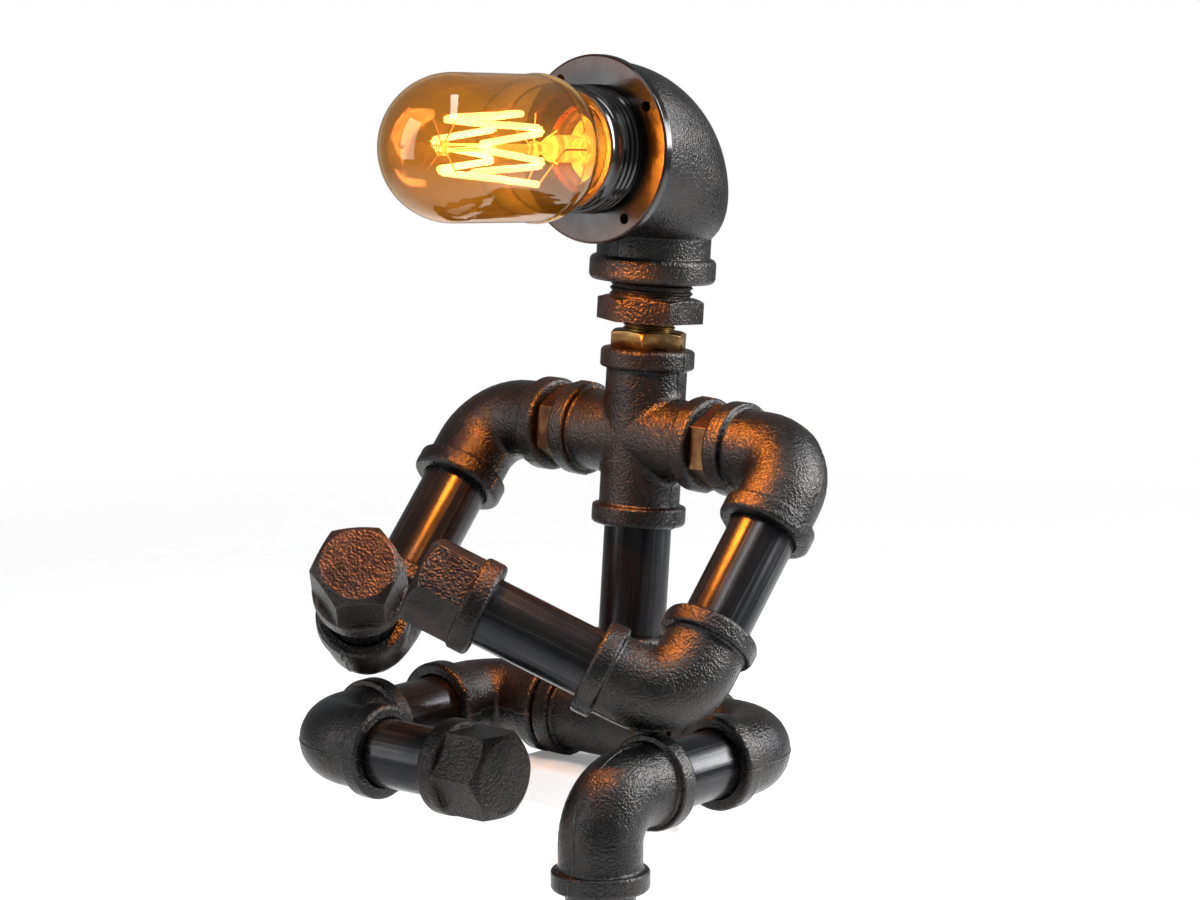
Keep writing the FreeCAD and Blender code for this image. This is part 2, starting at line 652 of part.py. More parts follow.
def build_head_elbow():
    """The reducing elbow: a tapering bend, a short front mouth and a beaded lower mouth."""
    def drum(diameter, start, length, along):
        return Part.makeCylinder(diameter / 2, length, start, along)
    front_length = size["head_front"] - size["head_bend_radius"]
    front = FORWARD * size["head_bend_radius"]
    low = -UP * size["head_bend_radius"]
    low_length = size["head_drop"] - size["head_bend_radius"]
    bottom = -UP * size["head_drop"]
    bead = drum(size["head_bead_diameter"], bottom, size["head_bead_width"], UP)
    rims = [edge for edge in bead.Edges if isinstance(edge.Curve, Part.Circle)]
    bead = bead.makeFillet(size["head_bead_round"], rims)
    shell = bent_shell(0).fuse([
        drum(size["head_front_diameter"], front, front_length, FORWARD),
        drum(size["head_neck_diameter"], low, low_length, -UP),
        bead,
    ])
    thread = size["bushing_thread_diameter"] + 2 * size["thread_gap"]
    wall = 2 * size["head_wall"]
    hollow = [
        bent_shell(size["head_wall"]),
        drum(size["head_mouth_diameter"], FORWARD * size["head_front"], front_length, -FORWARD),
        drum(thread, bottom, size["bushing_engagement"] + size["bushing_relief"], UP),
        drum(min(thread, size["head_neck_diameter"] - wall), bottom, low_length, UP),
    ]
    shaped("head_elbow", [shell.cut(hollow).removeSplitter()], head)


def build_head():
    """The head elbow with its bushing and its shade ring."""
    build_head_elbow()
    thread = "bushing_thread_diameter"
    bushing = new_body("neck_bushing")
    prism(bushing, "bushing_flats", "0", "bushing_hex_width")
    revolve(bushing, [
        ("bushing_flats / 2 - hex_top_inset", "bushing_hex_width"),
        ("bushing_flats / sqrt(3)", "bushing_hex_width"),
        ("bushing_flats / sqrt(3)", "bushing_hex_width - hex_chamfer"),
    ], "Groove")
    rod(bushing, "Additive", "+z", f"{thread} / 2", "bushing_hex_width",
        "bushing_thread_exposed + bushing_engagement")
    rod(bushing, "Subtractive", "+z", "neck_thread_diameter / 2 + thread_gap", "0",
        "bushing_hex_width + bushing_thread_exposed + bushing_engagement")
    foot = -(size["head_drop"] + size["bushing_thread_exposed"] + size["bushing_hex_width"])
    bushing.Placement = placed(head, UP * foot, Rotation(UP, QUARTER))

    ring = turned("shade_ring", [
        ("holder_diameter / 2 + holder_gap", "0"),
        ("ring_diameter / 2", "0"),
        ("ring_diameter / 2", "ring_thickness"),
        ("holder_diameter / 2 + holder_gap", "ring_thickness"),
    ])
    soften(ring, "Fillet", "ring_round", [(size["ring_diameter"] / 2, size["ring_thickness"])])
    first = feature(ring, "SubtractiveCylinder", UPRIGHT, {"x": "ring_notch_circle / 2"},
                    Radius="ring_notch_diameter / 2", Height="ring_thickness")
    around = ring.newObject("PartDesign::PolarPattern", "Notches")
    around.Originals = [first]
    around.Axis = (origin_part(ring, "Z_Axis"), [""])
    around.Angle = ALL_ROUND
    around.Occurrences = int(size["ring_notches"])
    ring.Tip = around
    ring.Placement = placed(socket, Vector(), Rotation(UP, size["ring_turn"]))


def build_lampholder():
    """Skirt, dome, contact block, screw shell, contacts and entry bush, along the bulb's axis."""
    bore = "holder_rim_diameter / 2 - holder_wall"
    skirt = turned("holder_skirt", [
        (bore, "-holder_split"),
        ("holder_diameter / 2", "-holder_split"),
        ("holder_diameter / 2", "holder_front - holder_rim_width"),
        ("holder_rim_diameter / 2", "holder_front - holder_rim_width"),
        ("holder_rim_diameter / 2", "holder_front"),
        (bore, "holder_front"),
    ])
    soften(skirt, "Fillet", "holder_rim_round", [(size["holder_rim_diameter"] / 2, size["holder_front"])])
    skirt.Placement = socket
    block_back = "(core_floor + core_thickness)"
    dome = turned("holder_dome", [
        (bore, "-holder_split"),
        ("holder_diameter / 2 - dome_step", "-holder_split"),
        ("holder_diameter / 2 - dome_step", "-holder_split - dome_straight"),
        ("dome_rear_diameter / 2 + dome_end_run", "dome_end_height - holder_rear"),
        ("dome_rear_diameter / 2", "-holder_rear"),
        ("entry_diameter / 2 + thread_gap", "-holder_rear"),
        ("entry_diameter / 2 + thread_gap", f"-{block_back} - terminal_room"),
        ("core_diameter / 2 - core_ledge", f"-{block_back} - terminal_room"),
        ("core_diameter / 2 - core_ledge", f"-{block_back}"),
        ("core_diameter / 2 + core_gap", f"-{block_back}"),
        ("core_diameter / 2 + core_gap", "-core_floor"),
    ])
    dome.Placement = socket
    core = turned("holder_core", [
        ("0", f"-{block_back}"),
        ("core_diameter / 2", f"-{block_back}"),
        ("core_diameter / 2", "-core_floor"),
        ("0", "-core_floor"),
    ])
    core.Placement = socket
    inside = "screw_diameter / 2 + screw_gap"
    shell = turned("holder_screw_shell", [
        ("button_diameter / 2 + shell_floor_clear", "-core_floor"),
        (f"{inside} + sheet_metal", "-core_floor"),
        (f"{inside} + sheet_metal", "screw_shell_front"),
        (inside, "screw_shell_front"),
        (inside, "-core_floor + sheet_metal"),
        ("button_diameter / 2 + shell_floor_clear", "-core_floor + sheet_metal"),
    ])
    shell.Placement = socket
    contact = new_body("holder_centre_contact")
    for start, length, height in (
            ("tongue_pad / 2 - tongue_length", "tongue_length", "sheet_metal"),
            ("-tongue_pad / 2", "tongue_pad", "core_floor - (bulb_length - bulb_tip) - face_gap")):
        feature(contact, "AdditiveBox", UPRIGHT, {"x": start, "y": "-tongue_width / 2", "z": "-core_floor"},
                Length=length, Width="tongue_width", Height=height)
    contact.Placement = socket
    screws = []
    for side, sign in SIDES.items():
        screw = new_body(f"terminal_screw_{side}", listed=False)
        rod(screw, "Additive", "-z", "terminal_screw_diameter / 2", "0", "terminal_screw_head")
        back = -(size["core_floor"] + size["core_thickness"])
        screw.Placement = placed(socket, Vector(sign * size["terminal_pitch"], 0, back))
        screws.append(screw)
    group("holder_terminal_screws", screws)
    bush = tube_body("holder_entry_bush", "entry_diameter", "entry_bore",
                     f"holder_rear + entry_proud - {block_back} - entry_room")
    bush.Placement = placed(socket, Vector(0, 0, -size["holder_rear"] - size["entry_proud"]))


def build_bulb():
    """The bulb along its axis: contact, insulator, cap, glass, stem, hooks, leads, filament."""
    base = "(bulb_tip - bulb_length)"
    button = turned("bulb_contact", [
        ("0", base),
        ("button_diameter / 2 - button_round", base),
        ("button_diameter / 2", f"{base} + button_height"),
        ("0", f"{base} + button_height"),
    ])
    button.Placement = socket
    skirt = f"{base} + insulator_height"
    insulator = turned("bulb_insulator", [
        ("0", f"{base} + button_height"),
        ("button_diameter / 2 + insulator_brim", f"{base} + button_height"),
        ("screw_diameter / 2 - insulator_inset", skirt),
        ("0", skirt),
    ])
    insulator.Placement = socket
    cap = turned("bulb_cap", [
        ("screw_diameter / 2 - cap_floor_width", skirt),
        ("screw_diameter / 2 - cap_corner_width", skirt),
        ("screw_diameter / 2", f"{skirt} + cap_corner_height"),
        ("screw_diameter / 2", f"{skirt} + cap_shell_length"),
        ("screw_diameter / 2 - sheet_metal", f"{skirt} + cap_shell_length"),
        ("screw_diameter / 2 - sheet_metal", f"{skirt} + cap_corner_height"),
        ("screw_diameter / 2 - cap_floor_width", f"{skirt} + sheet_metal"),
    ])
    cap.Placement = socket
    build_glass()
    build_stem()
    build_filament()


def glass_outline(inset):
    """The envelope's outline from neck to tip, moved in by the glass wall."""
    neck = size["bulb_neck_diameter"] / 2 - inset
    wide = size["bulb_diameter"] / 2 - inset
    neck_end = size["bulb_tip"] - size["bulb_length"] + size["insulator_height"] + size["cap_shell_length"]
    neck_start = neck_end - size["glass_in_cap"]
    full = neck_end + size["bulb_shoulder"]
    middle = (neck_end + full) / 2
    half = (neck + wide) / 2
    bend = size["bulb_shoulder_round"] * size["bulb_shoulder"]
    bow = size["bulb_shoulder_bow"] * bend
    dome = size["bulb_tip"] - size["bulb_diameter"] / 2
    slope = math.hypot(size["bulb_shoulder"], wide - neck)
    lean = size["bulb_shoulder"] / slope
    rise = (wide - neck) / slope

    def at(radius, height):
        return Vector(radius, 0, height)
    first = at(neck + bow, neck_end + bend / 2)
    last = at(wide - bow, full - bend / 2)
    start = at(half - rise * bend, middle - lean * bend)
    end = at(half + rise * bend, middle + lean * bend)
    crown = wide * math.sqrt(0.5)
    return [
        Part.LineSegment(at(neck, neck_start), at(neck, neck_end - bend / 2)).toShape(),
        Part.Arc(at(neck, neck_end - bend / 2), first, start).toShape(),
        Part.LineSegment(start, end).toShape(),
        Part.Arc(end, last, at(wide, full + bend / 2)).toShape(),
        Part.LineSegment(at(wide, full + bend / 2), at(wide, dome)).toShape(),
        Part.Arc(at(wide, dome), at(crown, dome + crown), at(0, dome + wide)).toShape(),
    ]


def build_glass():
    """The envelope as the space between two turned outlines."""
    def filled(inset):
        edges = glass_outline(inset)
        top = edges[-1].Vertexes[-1].Point
        foot = edges[0].Vertexes[0].Point
        axis_foot = Vector(0, 0, foot.z)
        edges += [Part.LineSegment(top, axis_foot).toShape(), Part.LineSegment(axis_foot, foot).toShape()]
        face = Part.Face(Part.Wire(Part.__sortEdges__(edges)))
        return face.revolve(Vector(), UP, ALL_ROUND)
    shaped("bulb_glass", [filled(0).cut(filled(size["bulb_wall"]))], socket)


def build_stem():
    """The stem's flare, its tube and the long rod with a bead at each end of the cage."""
    stem = turned("bulb_stem", [
        ("stem_diameter / 2 - stem_wall", "0"),
        ("bulb_neck_diameter / 2 - bulb_wall - stem_fit", "0"),
        ("bulb_neck_diameter / 2 - bulb_wall - stem_fit", "flare_rim"),
        ("stem_diameter / 2 + flare_waist", "flare_height"),
        ("stem_diameter / 2", "flare_end"),
        ("stem_diameter / 2", "cage_start - stem_stop"),
        ("rod_diameter / 2", "cage_start - stem_stop + stem_taper"),
        ("rod_diameter / 2", "cage_start - rod_bead - rod_bead_slope"),
        ("rod_diameter / 2 + rod_bead", "cage_start - rod_bead"),
        ("rod_diameter / 2 + rod_bead", "cage_start + rod_bead"),
        ("rod_diameter / 2", "cage_start + rod_bead + rod_bead_slope"),
        ("rod_diameter / 2", "cage_end - rod_bead - rod_bead_slope"),
        ("rod_diameter / 2 + rod_bead", "cage_end - rod_bead"),
        ("rod_diameter / 2 + rod_bead", "cage_end + rod_bead"),
        ("0", "cage_end + 2 * rod_bead"),
        ("0", "cage_start - stem_hollow_tip"),
        ("stem_diameter / 2 - stem_wall", "cage_start - stem_hollow"),
    ])
    stem.Placement = socket


def cage_points():
    """The filament's turning points, rear and front by turns, round a slightly tapered cage."""
    count = int(size["cage_strands"]) + 1
    opening = radians("cage_opening")
    points = []
    for number in range(count):
        angle = opening / 2 + number * (2 * math.pi - opening) / (count - 1) - math.pi / 2
        front = number % 2 == 1
        radius = size["cage_front_radius"] if front else size["cage_rear_radius"]
        height = size["cage_end"] if front else size["cage_start"]
        points.append(Vector(radius * math.cos(angle), radius * math.sin(angle), height))
    return points


def least_gap(path, diameter):
    """The least gap of a wire to itself, measured between points far apart along it."""
    samples = 400
    neighbours = 12
    points = path.discretize(Number=samples)
    return min((a - b).Length for i, a in enumerate(points) for b in points[i + neighbours:]) - diameter


def build_filament():
    """The zigzag filament, the hooks that hold it and its two leads."""
    points = cage_points()
    path = rounded_path(points, [size["strand_round"]] * (len(points) - 2))
    thick = size["filament_diameter"]
    shaped("filament", [tube_along(path, thick, "filament")], socket)
    print(f"filament: least gap to itself {least_gap(path, thick):.2f}")
    hooks = []
    bead = size["rod_diameter"] / 2 + size["rod_bead"]
    for corner in points[1:-1]:
        middle = Vector(0, 0, corner.z)
        outward = (corner - middle).normalize()
        length = (corner - middle).Length - thick / 2 - size["hook_gap"] - bead
        hooks.append(Part.makeCylinder(size["hook_diameter"] / 2, length, middle + outward * bead, outward))
    shaped("filament_hooks", hooks, socket)
    leads = []
    side = size["stem_diameter"] / 2 + size["lead_diameter"] / 2 + size["lead_gap"]
    for end in (points[0], points[-1]):
        across = Vector(math.copysign(side, end.x), 0, 0)
        bend = across + UP * (size["cage_start"] - size["lead_bend"])
        route = [across + UP * size["lead_foot"], bend, end - UP * size["lead_end"]]
        path = rounded_path(route, [size["lead_bend_radius"]])
        leads.append(tube_along(path, size["lead_diameter"], "lead"))
    shaped("filament_leads", leads, socket)


def build_wires():
    """Two wires from the lampholder to the neck, then straight down to the terminal block."""
    bushing_foot = -(size["head_drop"] + size["bushing_thread_exposed"] + size["bushing_hex_width"])
    split = bushing_foot + size["neck_engagement"] + size["wire_joint"]
    entry = size["holder_rear"] - size["head_front"]
    route = [
        Vector(0, entry - 2.6, 0),
        Vector(0, entry + 5.0, 0.6),
        Vector(0, entry + 8.2, -6.5),
        Vector(0, entry + 5.5, -16),
        Vector(0, 0, -27),
        Vector(0, 0, split),
    ]
    radii = largest_radii(route)
    print("head wire radii", [round(radius, 1) for radius in radii])
    across = RIGHTWARD * size["wire_pitch"] / 2
    pair = []
    for sign in (1, -1):
        path = rounded_path([point + across * sign for point in route], radii)
        pair.append(tube_along(path, size["wire_diameter"], "head wire"))
    shaped("head_wires", pair, head)
    top = neck_height + split - size["face_gap"] + spine_length
    foot = size["block_height"] / 2 + size["face_gap"]
    pair = [Part.makeCylinder(size["wire_diameter"] / 2, top - foot, across * sign + UP * foot, UP)
            for sign in (1, -1)]
    shaped("spine_wires", pair, spine)


def check_document():
    """Stop on any failed feature or bad shape before anything is written."""
    doc.recompute()
    failed = [f"{thing.Label} of {[owner.Label for owner in thing.InList]}" for thing in doc.Objects
              if "Invalid" in thing.State or "Error" in thing.State]
    if failed:
        raise RuntimeError("failed: " + "; ".join(failed))
    for node in nodes:
        if node.Shape.isNull() or not node.Shape.isValid() or not node.Shape.Solids:
            raise RuntimeError(f"{node.Label} has no valid solid")


def write_parts():
    os.makedirs(OUT, exist_ok=True)
    for node in nodes:
        node.Shape.exportStep(os.path.join(OUT, node.Label + ".step"))
    print(len(nodes), "nodes written")


build_pelvis()
build_torso()
build_head()
build_lampholder()
build_bulb()
build_wires()
for each in SIDES:
    build_arm(each)
    build_leg(each)
check_document()
write_parts()
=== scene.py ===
import json
import math

import bmesh
import bpy
from mathutils import Matrix, Vector


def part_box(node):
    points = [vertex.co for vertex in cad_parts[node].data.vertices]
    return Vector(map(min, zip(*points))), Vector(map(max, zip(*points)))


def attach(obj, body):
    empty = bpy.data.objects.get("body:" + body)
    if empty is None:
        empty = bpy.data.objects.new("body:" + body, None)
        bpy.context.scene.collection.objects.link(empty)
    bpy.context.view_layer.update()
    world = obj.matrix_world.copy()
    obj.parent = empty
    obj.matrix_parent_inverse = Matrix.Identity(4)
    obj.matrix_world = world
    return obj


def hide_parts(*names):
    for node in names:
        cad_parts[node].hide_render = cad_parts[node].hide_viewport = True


# A lit desk lamp in the shape of a seated robot, made of black pipe fittings. Everything is in metres.
# The origin is on the seat under the centre of the tee. Z is up, the lamp faces -Y and its left is +X.

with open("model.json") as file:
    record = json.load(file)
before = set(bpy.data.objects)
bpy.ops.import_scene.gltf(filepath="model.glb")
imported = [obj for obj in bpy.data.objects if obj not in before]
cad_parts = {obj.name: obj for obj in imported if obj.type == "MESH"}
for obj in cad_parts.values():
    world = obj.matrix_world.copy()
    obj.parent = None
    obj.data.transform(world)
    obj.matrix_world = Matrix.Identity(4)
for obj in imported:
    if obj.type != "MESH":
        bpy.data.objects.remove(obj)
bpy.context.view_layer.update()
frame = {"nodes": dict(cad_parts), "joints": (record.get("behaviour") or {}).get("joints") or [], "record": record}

MM = 0.001
UP = Vector((0, 0, 1))
SIDES = {"left": 1, "right": -1}

# Camera
CAMERA_AZIMUTH = math.radians(40)
CAMERA_ELEVATION = math.radians(10)
CAMERA_DISTANCE = 1.37
CAMERA_LENS = 132
CAMERA_TARGET = Vector((0.004, -0.018, 0.105))

# Sizes of the pieces that this file makes
HALF_INCH_REACH = 28 * MM  # centre of a half inch fitting to its end faces
HALF_INCH_BEND = 14.4 * MM
HEAD_BEND = 27 * MM
HEAD_RISE = 90.6 * MM  # chest centre to head centre along the spine
HEX_NECK_WIDTH = 5.6 * MM
NECK_THREAD_SHOWN = 3 * MM
NECK_THREAD_RADIUS = 8.35 * MM
NECK_THREAD_DEPTH = 0.7 * MM
NECK_THREAD_PITCH = 1.34 * MM
BUSHING_HEX_WIDTH = 7.5 * MM
BUSHING_THREAD_SHOWN = 5 * MM
BUSHING_THREAD_RADIUS = 13.2 * MM
BUSHING_THREAD_DEPTH = 0.9 * MM
BUSHING_THREAD_PITCH = 1.81 * MM
SKIRT_THREAD_RADIUS = 19.9 * MM
SKIRT_THREAD_DEPTH = 1.05 * MM
SKIRT_THREAD_PITCH = 2.3 * MM
SKIRT_THREAD_SHOWN = 12.5 * MM
CORE_BEHIND_FACE = 24.5 * MM  # middle of the contact block behind the head's front face
CAGE_START = 31 * MM
CAGE_END = 72 * MM
CAGE_REAR_RADIUS = 11 * MM
CAGE_FRONT_RADIUS = 9.5 * MM
CAGE_STRANDS = 12
CAGE_OPENING = math.radians(24)
THREAD_RUN_OUT = 0.9 * MM  # plain rim in front of the lampholder's thread
THREAD_RUN_IN = 1 * MM  # length of a thread's ridge inside its neighbour
COIL_BEND = 0.9 * MM  # radius of the zigzag's corners
COIL_RADIUS = 0.9 * MM
COIL_STEP = 0.13 * MM
COIL_STEPS_PER_TURN = 7.0
COIL_WIRE = 0.24 * MM
SEAM_WIDTH = 0.5 * MM
SEAM_STEP = 0.7 * MM
LINE_STEPS = 40  # points along a fitting's centre line, for each port and for the bend
OUTWARD = 0.1  # how much a face must look away from the bore to count as outside
THREAD_POINTS_PER_TURN = 72

# Meshes
SMOOTH_ANGLE = math.radians(32)
WELD = 0.002 * MM
OUTLINE_WELD = 0.01 * MM
SAME_RADIUS = 0.02 * MM  # how far from a cylinder a vertex still counts as on it

# Stage and lights
FLOOR_LEVEL = -0.10
SEAT_CORNERS = ((-0.036, -0.018, -0.014), (0.036, 0.040, -0.0002))
POST_CORNERS = ((-0.030, 0.026, FLOOR_LEVEL), (0.030, 0.040, -0.013))
STAGE_ROUNDING = 2 * MM
FLOOR_RADIUS = 1.6
FLOOR_FADE = (0.25, 1.1)  # distances between which the floor thins out
STAGE_LIFT = 0.2  # how much paler the stage is seen than it is lit
SURROUND_STRENGTH = 0.22
RIGHT_POWER = 26.0
LEFT_POWER = 5.0
TOP_POWER = 4.5
BULB_POWER = 4.4
BULB_LIGHT_RADIUS = 11 * MM
BULB_LIGHT_COLOUR = (1.0, 0.40, 0.08)

joints = {joint["name"]: joint for joint in frame["joints"]}
slot_of = {part["node"]: part["material_slot"] for part in frame["record"]["subparts"]}
body_of = {node: body for body, nodes in frame["record"]["behaviour"]["bodies"].items() for node in nodes}


def turn_point(joint):
    return Vector(joints[joint]["pos_m"])


def middle(node):
    low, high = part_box(node)
    return (low + high) / 2


spine = Vector(joints["head_turn"]["axis"])
forward = Vector((0, -spine.z, spine.y))
chest = turn_point("head_turn")
socket = middle("holder_core") + forward * CORE_BEHIND_FACE


def axis_frame(origin, along):
    """The place whose Z runs along a direction from an origin."""
    return Matrix.Translation(origin) @ UP.rotation_difference(along).to_matrix().to_4x4()


# Shader nodes

def feed(tree, node, inputs):
    """Sets a node's inputs to values or to other nodes' sockets."""
    for key, value in inputs.items():
        if isinstance(value, bpy.types.NodeSocket):
            tree.links.new(value, node.inputs[key])
        else:
            node.inputs[key].default_value = value


def add(tree, kind, inputs=None, **settings):
    """A new node with its settings and inputs."""
    made = tree.nodes.new(kind)
    for key, value in settings.items():
        setattr(made, key, value)
    feed(tree, made, inputs or {})
    return made


def calculate(tree, operation, first, second=0.0):
    return add(tree, "ShaderNodeMath", {0: first, 1: second}, operation=operation).outputs[0]


def remap(tree, value, low, high, to_low=0.0, to_high=1.0):
    limits = {"Value": value, "From Min": low, "From Max": high, "To Min": to_low, "To Max": to_high}
    return add(tree, "ShaderNodeMapRange", limits).outputs[0]


def blend_colours(tree, share, first, second):
    mixed = add(tree, "ShaderNodeMix", {0: share, 6: first, 7: second}, data_type="RGBA")
    return mixed.outputs[2]


def noise(tree, vector, scale, detail=2.0, roughness=0.5):
    settings = {"Vector": vector, "Scale": scale, "Detail": detail, "Roughness": roughness}
    return add(tree, "ShaderNodeTexNoise", settings).outputs[0]


def bump(tree, height, depth, strength=1.0, normal=None):
    inputs = {"Height": height, "Distance": depth, "Strength": strength}
    if normal:
        inputs["Normal"] = normal
    return add(tree, "ShaderNodeBump", inputs).outputs[0]


def effect(name, inputs, outputs):
    """An empty shader group with named sockets; returns it with its inside ends."""
    tree = bpy.data.node_groups.new(name, "ShaderNodeTree")
    tree.interface.new_socket("Vector", in_out="INPUT", socket_type="NodeSocketVector")
    for label, value in inputs.items():
        made = tree.interface.new_socket(label, in_out="INPUT", socket_type="NodeSocketFloat")
        made.default_value = value
    for label, kind in outputs.items():
        tree.interface.new_socket(label, in_out="OUTPUT", socket_type=kind)
    return tree, tree.nodes.new("NodeGroupInput").outputs, tree.nodes.new("NodeGroupOutput").inputs


def cast_grain_effect():
    """Sand-cast skin: fine pebbles on slow waves, patches of tone and small dark pits."""
    height_and_masks = {label: "NodeSocketFloat" for label in ("Height", "Patches", "Pits")}
    tree, given, result = effect("Cast Grain", {"Grain": 1400.0, "Waves": 110.0}, height_and_masks)
    fine = noise(tree, given["Vector"], given["Grain"], detail=3.0, roughness=0.6)
    pebble_scale = calculate(tree, "MULTIPLY", given["Grain"], 0.8)
    pebbles = remap(tree, noise(tree, given["Vector"], pebble_scale, detail=0.0), 0.35, 0.75)
    waves = noise(tree, given["Vector"], given["Waves"])
    raised = calculate(tree, "ADD", fine, calculate(tree, "MULTIPLY", pebbles, 0.6))
    swell = calculate(tree, "MULTIPLY", waves, 1.4)
    tree.links.new(calculate(tree, "ADD", raised, swell), result["Height"])
    patch_scale = calculate(tree, "MULTIPLY", given["Waves"], 0.5)
    patches = noise(tree, given["Vector"], patch_scale, detail=5.0, roughness=0.6)
    tree.links.new(remap(tree, patches, 0.38, 0.62), result["Patches"])
    spots = noise(tree, given["Vector"], pebble_scale, detail=1.0)
    tree.links.new(remap(tree, spots, 0.62, 0.74), result["Pits"])
    return tree


def edge_wear_effect():
    """Edges rubbed by handling: a broken mask along them and a slightly rounded normal."""
    tree, given, result = effect("Edge Wear", {"Radius": 0.5 * MM, "Breaks": 500.0},
                                 {"Mask": "NodeSocketFloat", "Normal": "NodeSocketVector"})
    rounded = add(tree, "ShaderNodeBevel", {"Radius": given["Radius"]}, samples=4).outputs[0]
    flat = add(tree, "ShaderNodeNewGeometry").outputs["Normal"]
    alike = add(tree, "ShaderNodeVectorMath", {0: rounded, 1: flat}, operation="DOT_PRODUCT").outputs["Value"]
    edge = remap(tree, alike, 0.995, 0.93)
    gaps = noise(tree, given["Vector"], given["Breaks"], detail=3.0, roughness=0.6)
    broken = remap(tree, gaps, 0.35, 0.55)
    tree.links.new(calculate(tree, "MULTIPLY", edge, broken), result["Mask"])
    tree.links.new(rounded, result["Normal"])
    return tree


def streak_effect():
    """Lines drawn along Z, as on drawn pipe or turned metal."""
    tree, given, result = effect("Streaks", {"Across": 900.0, "Along": 14.0},
                                 {"Height": "NodeSocketFloat", "Mask": "NodeSocketFloat"})
    scale = add(tree, "ShaderNodeCombineXYZ", {0: given["Across"], 1: given["Across"], 2: given["Along"]})
    drawn = add(tree, "ShaderNodeVectorMath", {0: given["Vector"], 1: scale.outputs[0]}, operation="MULTIPLY")
    lines = noise(tree, drawn.outputs[0], 1.0, detail=4.0, roughness=0.65)
    tree.links.new(lines, result["Height"])
    tree.links.new(remap(tree, lines, 0.55, 0.72), result["Mask"])
    return tree


CAST_GRAIN = cast_grain_effect()
EDGE_WEAR = edge_wear_effect()
STREAKS = streak_effect()


def place_effect(tree, group, vector, values=None):
    made = tree.nodes.new("ShaderNodeGroup")
    made.node_tree = group
    feed(tree, made, {"Vector": vector, **(values or {})})
    return made.outputs


def new_material(name, along=None):
    """A material with its tree, its shader and its vector, turned so that a direction is Z."""
    material = bpy.data.materials.new(name)
    material.use_nodes = True
    tree = material.node_tree
    vector = add(tree, "ShaderNodeTexCoord").outputs["Object"]
    if along is not None:
        turn = Vector(along).rotation_difference(UP).to_euler()
        vector = add(tree, "ShaderNodeMapping", {"Vector": vector, "Rotation": turn}).outputs[0]
    return material, tree, tree.nodes["Principled BSDF"], vector


def fill(tree, shader, **values):
    """Feeds the shader's sockets, whose names have _ in place of spaces here."""
    feed(tree, shader, {label.replace("_", " "): value for label, value in values.items()})


def cast_metal(name, dark, warm, bare_and_highlight, grain, depth, roughness, metallic):
    """Cast fittings: a near-black skin, a little warmer in patches, and paler at its edges, partly rubbed bare and
    partly a painted highlight.
    """
    material, tree, shader, vector = new_material(name)
    skin = place_effect(tree, CAST_GRAIN, vector, {"Grain": grain})
    edge = place_effect(tree, EDGE_WEAR, vector)
    tone = blend_colours(tree, skin["Patches"], dark, warm)
    pitted = blend_colours(tree, skin["Pits"], tone, dark)
    # Paler edges: rubbed wear, and also a painted highlight where the edges catch light.
    worn_and_highlit = blend_colours(tree, edge["Mask"], pitted, bare_and_highlight)
    rough = remap(tree, skin["Patches"], 0, 1, roughness, roughness + 0.1)
    fill(tree, shader, Base_Color=worn_and_highlit, Metallic=metallic, Roughness=rough,
         Normal=bump(tree, skin["Height"], depth, 1.0, edge["Normal"]))
    return material


def drawn_pipe(name, along):
    """Black pipe: a smooth skin with fine lines along it and a few paler rubs."""
    material, tree, shader, vector = new_material(name, along)
    lines = place_effect(tree, STREAKS, vector)
    skin = place_effect(tree, CAST_GRAIN, vector, {"Grain": 700.0, "Waves": 60.0})
    tone = blend_colours(tree, skin["Patches"], (0.022, 0.023, 0.026, 1), (0.034, 0.034, 0.036, 1))
    rubbed = calculate(tree, "MULTIPLY", lines["Mask"], skin["Patches"])
    colour = blend_colours(tree, rubbed, tone, (0.09, 0.088, 0.086, 1))
    rough = remap(tree, lines["Height"], 0.3, 0.7, 0.17, 0.34)
    ridged = bump(tree, lines["Height"], 0.02 * MM, 0.6)
    fill(tree, shader, Base_Color=colour, Metallic=0.85, Roughness=rough,
         Normal=bump(tree, skin["Height"], 0.02 * MM, 0.5, ridged))
    return material


def brass(name, clean, tarnished, tarnish, roughness):
    """Turned brass that has aged: tarnish in patches, cleaner on the rubbed edges."""
    material, tree, shader, vector = new_material(name, spine)
    skin = place_effect(tree, CAST_GRAIN, vector, {"Grain": 900.0, "Waves": 240.0})
    lines = place_effect(tree, STREAKS, vector, {"Across": 200.0, "Along": 1500.0})
    edge = place_effect(tree, EDGE_WEAR, vector, {"Radius": 0.4 * MM})
    share = remap(tree, skin["Patches"], 0, 1, tarnish - 0.25, min(1.0, tarnish + 0.25))
    aged = blend_colours(tree, share, clean, tarnished)
    colour = blend_colours(tree, edge["Mask"], aged, clean)
    rough = remap(tree, skin["Patches"], 0, 1, roughness, roughness + 0.15)
    turned = bump(tree, lines["Height"], 0.02 * MM, 0.6, edge["Normal"])
    fill(tree, shader, Base_Color=colour, Metallic=1.0, Roughness=rough,
         Normal=bump(tree, skin["Height"], 0.02 * MM, 0.6, turned))
    return material


def moulded(name, colour, speck, roughness, coat=0.0, metallic=0.0):
    """Moulded or fired pieces: a plain colour with faint specks and a slightly uneven skin."""
    material, tree, shader, vector = new_material(name)
    skin = place_effect(tree, CAST_GRAIN, vector, {"Grain": 1800.0, "Waves": 300.0})
    tone = blend_colours(tree, skin["Pits"], colour, speck)
    rough = remap(tree, skin["Patches"], 0, 1, roughness, roughness + 0.08)
    fill(tree, shader, Base_Color=tone, Metallic=metallic, Roughness=rough, Coat_Weight=coat,
         Coat_Roughness=0.08, Normal=bump(tree, skin["Height"], 0.012 * MM, 0.5))
    return material


